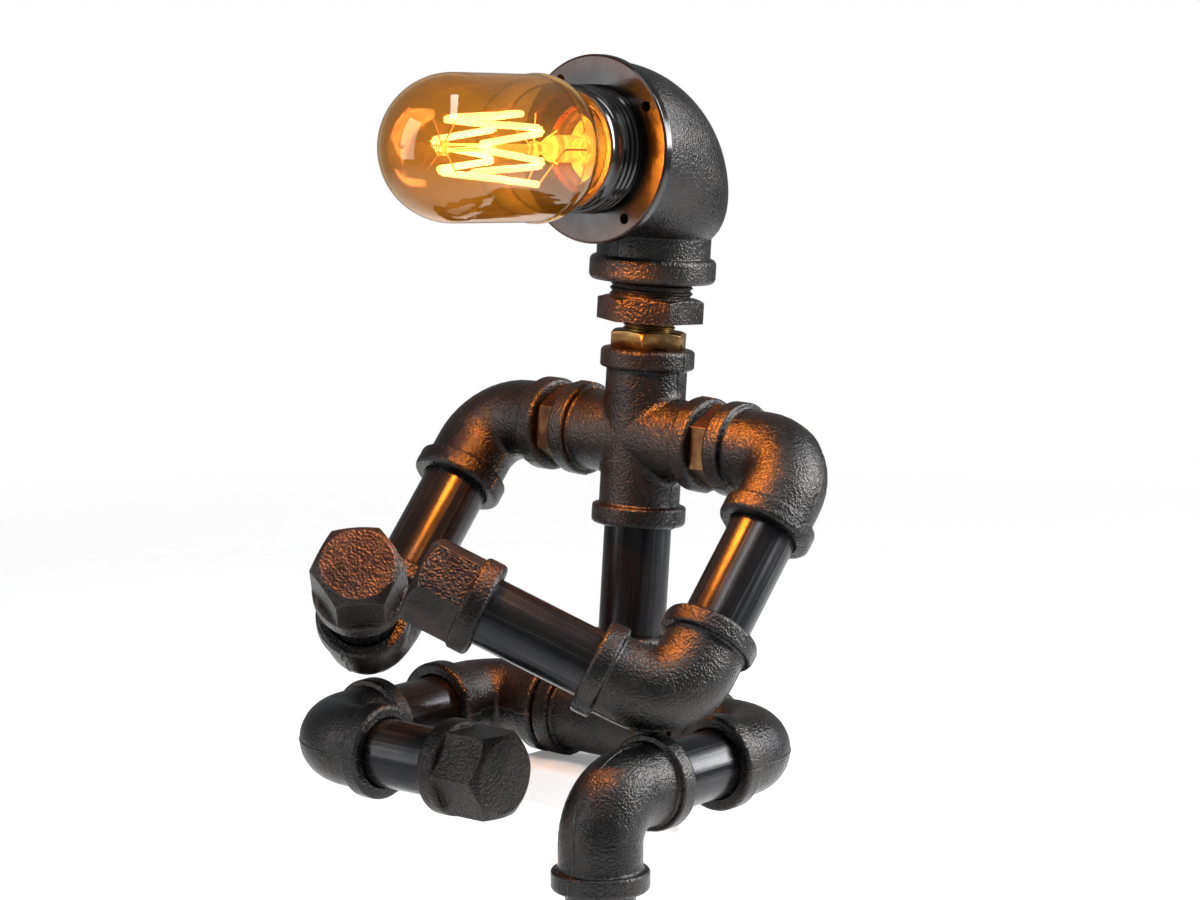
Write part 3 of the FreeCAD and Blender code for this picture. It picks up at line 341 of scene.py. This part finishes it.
def see_through_to_light(material, tree, shader, tint):
    """Lets light pass a glass wall straight, tinted, where a shadow or diffuse ray meets it."""
    clear = add(tree, "ShaderNodeBsdfTransparent", {"Color": tint})
    ray = add(tree, "ShaderNodeLightPath")
    passing = calculate(tree, "MAXIMUM", ray.outputs["Is Shadow Ray"], ray.outputs["Is Diffuse Ray"])
    mixed = add(tree, "ShaderNodeMixShader", {0: passing, 1: shader.outputs[0], 2: clear.outputs[0]})
    tree.links.new(mixed.outputs[0], tree.nodes["Material Output"].inputs["Surface"])
    return material


def amber_glass():
    """The envelope: clear amber glass, browner towards its outline, with a painted glow round the filament."""
    material, tree, shader, vector = new_material("amber_glass")
    # Painted glow: emission on the glass near the filament, fainter at the outline, standing in for the filament's
    # light scattered in the glass.
    centre = socket + forward * (CAGE_START + CAGE_END) / 2
    from_cage = add(tree, "ShaderNodeVectorMath", {0: vector, 1: centre}, operation="DISTANCE")
    near = remap(tree, from_cage.outputs["Value"], 40 * MM, 20 * MM)
    facing = add(tree, "ShaderNodeLayerWeight", {"Blend": 0.5}).outputs["Facing"]
    glow = calculate(tree, "MULTIPLY", near, remap(tree, facing, 0.42, 0.0))
    skin = place_effect(tree, CAST_GRAIN, vector, {"Grain": 120.0, "Waves": 45.0})
    amber = blend_colours(tree, skin["Patches"], (0.52, 0.31, 0.09, 1), (0.58, 0.36, 0.12, 1))
    colour = blend_colours(tree, remap(tree, facing, 0.35, 0.95), amber, (0.26, 0.13, 0.035, 1))
    painted_halo = blend_colours(tree, glow, (0, 0, 0, 1), (1.0, 0.45, 0.03, 1))
    fill(tree, shader, Base_Color=colour, Metallic=0.0, Roughness=0.02, IOR=1.47, Transmission_Weight=1.0,
         Emission_Color=painted_halo, Emission_Strength=0.36,
         Normal=bump(tree, skin["Height"], 0.05 * MM, 0.3))
    material.cycles.emission_sampling = "NONE"
    return see_through_to_light(material, tree, shader, (1.0, 0.80, 0.45, 1))


def clear_glass():
    """The stem: clear glass, with a painted glow standing in for the filament's light on its flare."""
    material, tree, shader, vector = new_material("stem_glass")
    skin = place_effect(tree, CAST_GRAIN, vector, {"Grain": 300.0, "Waves": 200.0})
    # Painted glow: this emission stands in for the filament's light on the stem and its flare.
    lit = blend_colours(tree, skin["Patches"], (1.0, 0.58, 0.16, 1), (1.0, 0.74, 0.28, 1))
    fill(tree, shader, Base_Color=(1.0, 0.93, 0.80, 1), Metallic=0.0, Roughness=0.04, IOR=1.5,
         Transmission_Weight=1.0, Emission_Color=lit, Emission_Strength=0.7,
         Normal=bump(tree, skin["Height"], 0.05 * MM, 0.5))
    material.cycles.emission_sampling = "NONE"
    return see_through_to_light(material, tree, shader, (1.0, 0.95, 0.85, 1))


def black_glass():
    """The dark glass insulator in the foot of the lamp cap."""
    material, tree, shader, vector = new_material("black_glass")
    skin = place_effect(tree, CAST_GRAIN, vector, {"Grain": 500.0, "Waves": 200.0})
    tone = blend_colours(tree, skin["Patches"], (0.01, 0.01, 0.015, 1), (0.02, 0.02, 0.03, 1))
    fill(tree, shader, Base_Color=tone, Roughness=0.08, IOR=1.5,
         Normal=bump(tree, skin["Height"], 0.02 * MM, 0.4))
    return material


def glowing_wire():
    """The lit filament, a little uneven in its heat and fainter where the glass mirrors it."""
    material, tree, shader, vector = new_material("filament")
    skin = place_effect(tree, CAST_GRAIN, vector, {"Grain": 300.0, "Waves": 120.0})
    heat = blend_colours(tree, skin["Patches"], (1.0, 0.55, 0.42, 1), (1.0, 0.72, 0.58, 1))
    mirrored = add(tree, "ShaderNodeLightPath").outputs["Is Glossy Ray"]
    strength = remap(tree, mirrored, 0, 1, 40.0, 3.0)
    fill(tree, shader, Base_Color=heat, Roughness=0.6, Emission_Color=heat, Emission_Strength=strength)
    material.cycles.emission_sampling = "NONE"
    return material


def make_materials():
    """Each slot's own material; the pipes get one for each direction that they run in."""
    return {
        "cast_iron": cast_metal("cast_iron", (0.030, 0.030, 0.031, 1), (0.050, 0.047, 0.045, 1),
                                (0.12, 0.115, 0.11, 1), grain=1700.0, depth=0.19 * MM,
                                roughness=0.25, metallic=0.92),
        "rough_iron": cast_metal("rough_iron", (0.024, 0.022, 0.022, 1), (0.050, 0.041, 0.037, 1),
                                 (0.11, 0.10, 0.095, 1), grain=1450.0, depth=0.25 * MM,
                                 roughness=0.29, metallic=0.92),
        "brass": brass("brass", (0.46, 0.29, 0.10, 1), (0.10, 0.055, 0.024, 1),
                       tarnish=0.60, roughness=0.30),
        "aged_brass": brass("aged_brass", (0.26, 0.15, 0.06, 1), (0.045, 0.026, 0.016, 1),
                            tarnish=0.75, roughness=0.36),
        "ring": moulded("ring_enamel", (0.0030, 0.0026, 0.0024, 1), (0.005, 0.0045, 0.004, 1),
                        roughness=0.11),
        "holder_black": moulded("holder_black", (0.004, 0.0036, 0.0034, 1), (0.008, 0.007, 0.0065, 1),
                                roughness=0.14, coat=0.6),
        "holder_ceramic": moulded("holder_ceramic", (0.82, 0.80, 0.74, 1), (0.6, 0.57, 0.5, 1),
                                  roughness=0.35),
        "plated_metal": moulded("plated_metal", (0.62, 0.55, 0.44, 1), (0.4, 0.34, 0.26, 1),
                                roughness=0.25, metallic=1.0),
        "wire": moulded("wire_cover", (0.03, 0.028, 0.027, 1), (0.05, 0.046, 0.044, 1),
                        roughness=0.5),
        "white_plastic": moulded("white_plastic", (0.78, 0.77, 0.72, 1), (0.68, 0.66, 0.6, 1),
                                 roughness=0.45),
        "black_glass": black_glass(),
        "amber_glass": amber_glass(),
        "clear_glass": clear_glass(),
        "filament": glowing_wire(),
        "support_wire": moulded("support_wire", (0.55, 0.42, 0.30, 1), (0.4, 0.3, 0.2, 1),
                                roughness=0.3, metallic=1.0),
    }


MATERIALS = make_materials()
AGED_BRASS_NODES = ("shoulder_nipples",)


def pipe_direction(node):
    """The way a pipe runs, from its neighbours' centres or from its own middle."""
    side = node.rsplit("_", 1)[-1]
    if node.startswith("upper_arm"):
        return turn_point(f"elbow_{side}") - turn_point(f"shoulder_{side}")
    if node.startswith("forearm"):
        return middle(node) - turn_point(f"elbow_{side}")
    if node.startswith("thigh"):
        return turn_point(f"knee_{side}") - turn_point(f"hip_{side}")
    if node.startswith("shin"):
        return middle(node) - turn_point(f"knee_{side}")
    if node == "hip_nipples":
        return Vector((1, 0, 0))
    return spine


def dress_nodes():
    """Gives every node of the frame the material of its slot."""
    for node, thing in frame["nodes"].items():
        if slot_of[node] == "black_pipe":
            material = drawn_pipe(f"black_{node}", pipe_direction(node))
        elif node in AGED_BRASS_NODES:
            material = MATERIALS["aged_brass"]
        else:
            material = MATERIALS[slot_of[node]]
        for place in thing.material_slots:
            place.material = material


# Geometry trees

def geometry_tree(name, inputs):
    """An empty geometry tree with named inputs; returns it with its inside ends."""
    tree = bpy.data.node_groups.new(name, "GeometryNodeTree")
    tree.interface.new_socket("Geometry", in_out="INPUT", socket_type="NodeSocketGeometry")
    for label, kind in inputs.items():
        tree.interface.new_socket(label, in_out="INPUT", socket_type=kind)
    tree.interface.new_socket("Geometry", in_out="OUTPUT", socket_type="NodeSocketGeometry")
    return tree, tree.nodes.new("NodeGroupInput").outputs, tree.nodes.new("NodeGroupOutput").inputs


def finish_tree(tree, made, material, result):
    """Gives what was made its material and hands it out as the tree's result."""
    real = add(tree, "GeometryNodeRealizeInstances", {0: made})
    painted = add(tree, "GeometryNodeSetMaterial", {"Geometry": real.outputs[0], "Material": material})
    tree.links.new(painted.outputs[0], result[0])


def wire_along(tree, curve, radius, sides):
    """A solid wire of a few sides along a curve."""
    profile = add(tree, "GeometryNodeCurvePrimitiveCircle", {"Resolution": sides, "Radius": radius})
    swept = add(tree, "GeometryNodeCurveToMesh", {0: curve, 1: profile.outputs[0], "Fill Caps": True})
    return swept.outputs[0]


def thread_tree():
    """A helical ridge round Z from Z zero upwards."""
    tree, given, result = geometry_tree("Screw Thread", {
        "Radius": "NodeSocketFloat", "Pitch": "NodeSocketFloat", "Length": "NodeSocketFloat",
        "Ridge": "NodeSocketFloat", "Sides": "NodeSocketInt", "Material": "NodeSocketMaterial"})
    turns = calculate(tree, "DIVIDE", given["Length"], given["Pitch"])
    spiral = add(tree, "GeometryNodeCurveSpiral", {
        "Resolution": THREAD_POINTS_PER_TURN, "Rotations": turns, "Start Radius": given["Radius"],
        "End Radius": given["Radius"], "Height": given["Length"]})
    steady = add(tree, "GeometryNodeSetCurveNormal", {0: spiral.outputs[0]}, mode="Z_UP")
    ridge = wire_along(tree, steady.outputs[0], given["Ridge"], given["Sides"])
    finish_tree(tree, ridge, given["Material"], result)
    return tree


def seam_tree():
    """A fine raised line along the edges that it is given."""
    tree, given, result = geometry_tree("Casting Seam", {
        "Width": "NodeSocketFloat", "Step": "NodeSocketFloat", "Material": "NodeSocketMaterial"})
    line = add(tree, "GeometryNodeMeshToCurve", {0: given["Geometry"]})
    even = add(tree, "GeometryNodeResampleCurve", {"Curve": line.outputs[0], "Length": given["Step"]},
               mode="LENGTH")
    half = calculate(tree, "DIVIDE", given["Width"], 2.0)
    finish_tree(tree, wire_along(tree, even.outputs[0], half, 6), given["Material"], result)
    return tree


def coil_tree():
    """A fine coil wound along the zigzag that it is given."""
    tree, given, result = geometry_tree("Coiled Wire", {
        "Bend": "NodeSocketFloat", "Coil Radius": "NodeSocketFloat", "Step": "NodeSocketFloat",
        "Steps Per Turn": "NodeSocketFloat", "Wire": "NodeSocketFloat", "Material": "NodeSocketMaterial"})
    line = add(tree, "GeometryNodeMeshToCurve", {0: given["Geometry"]})
    bent = add(tree, "GeometryNodeFilletCurve", {
        "Curve": line.outputs[0], "Count": 8, "Radius": given["Bend"], "Limit Radius": True}, mode="POLY")
    even = add(tree, "GeometryNodeResampleCurve", {"Curve": bent.outputs[0], "Length": given["Step"]},
               mode="LENGTH")
    number = add(tree, "GeometryNodeInputIndex").outputs[0]
    turned = calculate(tree, "DIVIDE", number, given["Steps Per Turn"])
    angle = calculate(tree, "MULTIPLY", turned, 2 * math.pi)
    normal = add(tree, "GeometryNodeInputNormal").outputs[0]
    tangent = add(tree, "GeometryNodeInputTangent").outputs[0]
    around = add(tree, "ShaderNodeVectorRotate", {"Vector": normal, "Axis": tangent, "Angle": angle})
    offset = add(tree, "ShaderNodeVectorMath", {0: around.outputs[0], "Scale": given["Coil Radius"]},
                 operation="SCALE")
    wound = add(tree, "GeometryNodeSetPosition", {"Geometry": even.outputs[0], "Offset": offset.outputs[0]})
    finish_tree(tree, wire_along(tree, wound.outputs[0], given["Wire"], 4), given["Material"], result)
    return tree


THREAD = thread_tree()
SEAM = seam_tree()
COIL = coil_tree()


def grown(tree, values, start=None):
    """The plain mesh that a geometry tree makes with these values."""
    carrier = bpy.data.objects.new(tree.name, start or bpy.data.meshes.new(tree.name))
    bpy.context.scene.collection.objects.link(carrier)
    modifier = carrier.modifiers.new("Grow", "NODES")
    modifier.node_group = tree
    named = {item.name: item.identifier for item in tree.interface.items_tree if item.in_out == "INPUT"}
    for label, value in values.items():
        modifier[named[label]] = value
    mesh = bpy.data.meshes.new_from_object(carrier.evaluated_get(bpy.context.evaluated_depsgraph_get()))
    bpy.data.objects.remove(carrier)
    return mesh


def piece(name, meshes, node, replaced=False):
    """One finished object of several meshes that rides with a node's body and takes its slot."""
    form = bmesh.new()
    for mesh in meshes:
        form.from_mesh(mesh)
    joined = bpy.data.meshes.new(name)
    form.to_mesh(joined)
    form.free()
    joined.materials.append(meshes[0].materials[0])
    joined.polygons.foreach_set("material_index", [0] * len(joined.polygons))
    joined.polygons.foreach_set("use_smooth", [True] * len(joined.polygons))
    joined.set_sharp_from_angle(angle=SMOOTH_ANGLE)
    made = bpy.data.objects.new(name, joined)
    bpy.context.scene.collection.objects.link(made)
    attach(made, body_of[node])
    if replaced:
        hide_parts(node)
    return made


def narrowed(node, place, radius, depth):
    """A node's mesh, its cylinder of that radius round the place's Z made narrower by a depth."""
    mesh = frame["nodes"][node].data.copy()
    form = bmesh.new()
    form.from_mesh(mesh)
    bmesh.ops.remove_doubles(form, verts=form.verts, dist=WELD)
    back = place.inverted()
    for vertex in form.verts:
        local = back @ vertex.co
        reach = math.hypot(local.x, local.y)
        if abs(reach - radius) < SAME_RADIUS:
            share = (radius - depth) / radius
            vertex.co = place @ Vector((local.x * share, local.y * share, local.z))
    form.to_mesh(mesh)
    form.free()
    return mesh


def threaded(name, node, foot, along, radius, depth, pitch, length, sides):
    """A copy of a node whose smooth thread is cut to its root and wound with a ridge."""
    place = axis_frame(foot, along)
    material = frame["nodes"][node].material_slots[0].material
    core = narrowed(node, place, radius, depth)
    ridge = grown(THREAD, {"Radius": radius - depth, "Pitch": pitch, "Length": length, "Ridge": depth,
                           "Sides": sides, "Material": material})
    ridge.transform(place)
    return piece(name, [core, ridge], node, replaced=True)


def make_threads():
    """The three threads that show: lampholder, bushing and neck nipple."""
    threaded("holder_skirt_threaded", "holder_skirt", socket, forward,
             SKIRT_THREAD_RADIUS, SKIRT_THREAD_DEPTH, SKIRT_THREAD_PITCH,
             SKIRT_THREAD_SHOWN - THREAD_RUN_OUT, sides=8)
    neck_face = chest + spine * HALF_INCH_REACH
    threaded("neck_nipple_threaded", "neck_nipple", neck_face + spine * HEX_NECK_WIDTH, spine,
             NECK_THREAD_RADIUS, NECK_THREAD_DEPTH, NECK_THREAD_PITCH,
             NECK_THREAD_SHOWN + THREAD_RUN_IN, sides=4)
    bushing_foot = neck_face + spine * (HEX_NECK_WIDTH + NECK_THREAD_SHOWN + BUSHING_HEX_WIDTH)
    threaded("neck_bushing_threaded", "neck_bushing", bushing_foot, spine,
             BUSHING_THREAD_RADIUS, BUSHING_THREAD_DEPTH, BUSHING_THREAD_PITCH,
             BUSHING_THREAD_SHOWN + THREAD_RUN_IN, sides=4)


def centre_line(centre, ports, bend):
    """Points along a fitting's bores: straight from each port, and round the bend of an elbow."""
    reach = 2 * HALF_INCH_REACH
    shares = [step / LINE_STEPS for step in range(LINE_STEPS + 1)]
    points = []
    if len(ports) == 2:
        corner = centre + (ports[0] + ports[1]) * bend
        for share in shares:
            angle = share * math.pi / 2
            points.append(corner - ports[1] * bend * math.cos(angle) - ports[0] * bend * math.sin(angle))
        starts = bend
    else:
        starts = 0.0
    for port in ports:
        points += [centre + port * (starts + (reach - starts) * share) for share in shares]
    return points


def seam_of(node, centre, ports, bend):
    """The casting's parting line: a fine ridge where its middle plane meets its outside."""
    line = centre_line(centre, ports, bend)
    form = bmesh.new()
    form.from_mesh(frame["nodes"][node].data)
    bmesh.ops.remove_doubles(form, verts=form.verts, dist=WELD)
    everything = form.verts[:] + form.edges[:] + form.faces[:]
    cut = bmesh.ops.bisect_plane(form, geom=everything, dist=WELD, plane_co=centre,
                                 plane_no=ports[0].cross(ports[-1]))["geom_cut"]
    points = []
    edges = []
    for edge in cut:
        if not isinstance(edge, bmesh.types.BMEdge) or not edge.link_faces:
            continue
        place = (edge.verts[0].co + edge.verts[1].co) / 2
        nearest = min(line, key=lambda point: (point - place).length_squared)
        normal = sum((face.normal for face in edge.link_faces), Vector()).normalized()
        if normal.dot((place - nearest).normalized()) > OUTWARD:
            edges.append((len(points), len(points) + 1))
            points += [vertex.co.copy() for vertex in edge.verts]
    form.free()
    outline = bpy.data.meshes.new(f"{node}_outline")
    outline.from_pydata(points, edges, [])
    form = bmesh.new()
    form.from_mesh(outline)
    bmesh.ops.remove_doubles(form, verts=form.verts, dist=OUTLINE_WELD)
    form.to_mesh(outline)
    form.free()
    ridge = grown(SEAM, {"Width": SEAM_WIDTH, "Step": SEAM_STEP, "Material": MATERIALS["cast_iron"]}, outline)
    return piece(f"{node}_seam", [ridge], node)


def make_seams():
    """The parting lines of every casting."""
    across = Vector((1, 0, 0))
    seam_of("pelvis_tee", turn_point("waist_turn"), (across, -across, spine), 0.0)
    seam_of("torso_cross", chest, (across, -across, -spine, spine), 0.0)
    seam_of("head_elbow", chest + spine * HEAD_RISE, (forward, -spine), HEAD_BEND)
    for side, sign in SIDES.items():
        inboard = -across * sign
        for joint, fitting, upper, lower in (
                ("shoulder", "shoulder_elbow", None, "upper_arm_pipe"),
                ("elbow", "arm_elbow", "upper_arm_pipe", "forearm_pipe"),
                ("hip", "hip_elbow", None, "thigh_pipe"),
                ("knee", "knee_elbow", "thigh_pipe", "shin_pipe")):
            centre = turn_point(f"{joint}_{side}")
            first = (middle(f"{upper}_{side}") - centre).normalized() if upper else inboard
            second = (middle(f"{lower}_{side}") - centre).normalized()
            seam_of(f"{fitting}_{side}", centre, (first, second), HALF_INCH_BEND)


def make_filament():
    """The lit wire: a fine coil in a zigzag round the cage, in place of the plain wire."""
    across = Vector((1, 0, 0))
    turn = Matrix((across, forward.cross(across), forward)).transposed()
    place = Matrix.Translation(socket) @ turn.to_4x4()
    points = []
    for number in range(CAGE_STRANDS + 1):
        share = number / CAGE_STRANDS
        angle = CAGE_OPENING / 2 + share * (2 * math.pi - CAGE_OPENING) - math.pi / 2
        radius, height = (CAGE_FRONT_RADIUS, CAGE_END) if number % 2 else (CAGE_REAR_RADIUS, CAGE_START)
        points.append(place @ Vector((radius * math.cos(angle), radius * math.sin(angle), height)))
    zigzag = bpy.data.meshes.new("filament_zigzag")
    zigzag.from_pydata(points, [(number, number + 1) for number in range(CAGE_STRANDS)], [])
    coil = grown(COIL, {"Bend": COIL_BEND, "Coil Radius": COIL_RADIUS, "Step": COIL_STEP,
                        "Steps Per Turn": COIL_STEPS_PER_TURN, "Wire": COIL_WIRE,
                        "Material": MATERIALS["filament"]}, zigzag)
    return piece("filament_coil", [coil], "filament", replaced=True)


# Stage, lights and camera

def seen_ray(tree):
    """One for rays by which the surround is seen or looked at through glass."""
    ray = add(tree, "ShaderNodeLightPath")
    return calculate(tree, "MAXIMUM", ray.outputs["Is Camera Ray"], ray.outputs["Is Transmission Ray"])


def stage_material(fade_from=None, fade_to=None):
    """The stage's pale matt skin; between two distances, if given, it thins out into nothing."""
    material, tree, shader, vector = new_material("pale_stage")
    skin = place_effect(tree, CAST_GRAIN, vector, {"Grain": 700.0, "Waves": 9.0})
    tone = blend_colours(tree, skin["Patches"], (0.90, 0.90, 0.90, 1), (0.93, 0.93, 0.925, 1))
    fill(tree, shader, Base_Color=tone, Roughness=0.7, Specular_IOR_Level=0.2, Emission_Color=(1, 1, 1, 1))
    lift = calculate(tree, "MULTIPLY", seen_ray(tree), STAGE_LIFT)
    tree.links.new(lift, shader.inputs["Emission Strength"])
    if fade_from is not None:
        away = add(tree, "ShaderNodeVectorMath", {0: vector}, operation="LENGTH").outputs["Value"]
        gone = remap(tree, away, fade_from, fade_to)
        clear = add(tree, "ShaderNodeBsdfTransparent")
        mixed = add(tree, "ShaderNodeMixShader", {0: gone, 1: shader.outputs[0], 2: clear.outputs[0]})
        tree.links.new(mixed.outputs[0], tree.nodes["Material Output"].inputs["Surface"])
    return material


def add_stage(name, form, material):
    """A stage object made from a bmesh, which is freed."""
    mesh = bpy.data.meshes.new(name)
    form.to_mesh(mesh)
    form.free()
    mesh.materials.append(material)
    made = bpy.data.objects.new(name, mesh)
    bpy.context.scene.collection.objects.link(made)
    return made


def stage_box(name, low, high, material):
    """A box of the stage with its edges rounded."""
    form = bmesh.new()
    bmesh.ops.create_cube(form, size=1.0)
    for vertex in form.verts:
        vertex.co = Vector([low[axis] if vertex.co[axis] < 0 else high[axis] for axis in range(3)])
    bmesh.ops.bevel(form, geom=form.edges[:], offset=STAGE_ROUNDING, segments=4, profile=0.5, affect="EDGES")
    return add_stage(name, form, material)


def make_stage():
    """A round pale floor, and a pale seat on a post at its back, so that the legs swing free."""
    pale = stage_material()
    seat = stage_box("seat", *SEAT_CORNERS, pale)
    post = stage_box("seat_post", *POST_CORNERS, pale)
    form = bmesh.new()
    bmesh.ops.create_circle(form, cap_ends=True, segments=96, radius=FLOOR_RADIUS,
                            matrix=Matrix.Translation((0, 0, FLOOR_LEVEL)))
    return [seat, post, add_stage("floor", form, stage_material(*FLOOR_FADE))]


def add_light(name, kind, place, aim, power, **settings):
    light = bpy.data.lights.new(name, kind)
    light.energy = power
    for key, value in settings.items():
        setattr(light, key, value)
    made = bpy.data.objects.new(name, light)
    made.location = place
    made.rotation_euler = (aim - place).to_track_quat("-Z", "Y").to_euler()
    made.visible_camera = False
    bpy.context.scene.collection.objects.link(made)
    return made


def keep_off(light, things):
    """Links a light so that it doesn't light some things."""
    unlit = bpy.data.collections.new(f"unlit_by_{light.name}")
    light.light_linking.receiver_collection = unlit
    for thing in things:
        unlit.objects.link(thing)
    for member in unlit.collection_objects:
        member.light_linking.link_state = "EXCLUDE"


def make_lights(stage):
    """Three soft studio lights and the bulb's own warm light.

    The bulb's light is kept off the stage and the glass, and the right one off the glass.
    """
    toward = Vector((math.sin(CAMERA_AZIMUTH), -math.cos(CAMERA_AZIMUTH), 0))
    rightward = Vector((math.cos(CAMERA_AZIMUTH), math.sin(CAMERA_AZIMUTH), 0))
    aim = CAMERA_TARGET
    softbox = {"shape": "RECTANGLE", "size": 0.45, "size_y": 0.9}
    right = add_light("right_softbox", "AREA", aim + rightward * 0.95 - toward * 0.05 + UP * 0.5, aim,
                      RIGHT_POWER, **softbox)
    add_light("left_softbox", "AREA", aim - rightward * 0.95 + toward * 0.35 + UP * 0.3, aim,
              LEFT_POWER, **softbox)
    add_light("top_softbox", "AREA", aim + toward * 0.35 + UP * 1.05, aim, TOP_POWER,
              shape="RECTANGLE", size=0.16, size_y=0.8)
    glow = add_light("bulb_glow", "POINT", socket + forward * (CAGE_START + CAGE_END) / 2, aim,
                     BULB_POWER, shadow_soft_size=BULB_LIGHT_RADIUS, color=BULB_LIGHT_COLOUR)
    glow.visible_transmission = False
    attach(glow, body_of["bulb_glass"])
    glass = (frame["nodes"]["bulb_glass"], frame["nodes"]["bulb_stem"])
    keep_off(glow, (*stage, *glass))
    keep_off(right, glass)


def make_world():
    """A pale surround: white where it is seen or looked at through glass, dimmer as light."""
    world = bpy.data.worlds.new("studio")
    bpy.context.scene.world = world
    world.use_nodes = True
    tree = world.node_tree
    tree.nodes.clear()
    dim = add(tree, "ShaderNodeBackground", {"Color": (0.95, 0.97, 1.0, 1), "Strength": SURROUND_STRENGTH})
    white = add(tree, "ShaderNodeBackground", {"Color": (1, 1, 1, 1), "Strength": 1.0})
    mixed = add(tree, "ShaderNodeMixShader", {0: seen_ray(tree), 1: dim.outputs[0], 2: white.outputs[0]})
    result = add(tree, "ShaderNodeOutputWorld")
    tree.links.new(mixed.outputs[0], result.inputs["Surface"])


def make_camera():
    """The photograph's view: from the lamp's left front, a little above."""
    level = math.cos(CAMERA_ELEVATION)
    back = Vector((math.sin(CAMERA_AZIMUTH) * level, -math.cos(CAMERA_AZIMUTH) * level,
                   math.sin(CAMERA_ELEVATION)))
    camera = bpy.data.objects.new("camera", bpy.data.cameras.new("camera"))
    bpy.context.scene.collection.objects.link(camera)
    camera.location = CAMERA_TARGET + back * CAMERA_DISTANCE
    camera.rotation_euler = (-back).to_track_quat("-Z", "Y").to_euler()
    camera.data.lens = CAMERA_LENS
    bpy.context.scene.camera = camera


make_camera()
make_world()
stage = make_stage()
dress_nodes()
make_threads()
make_seams()
make_filament()
make_lights(stage)
bpy.context.scene.view_settings.view_transform = "Standard"
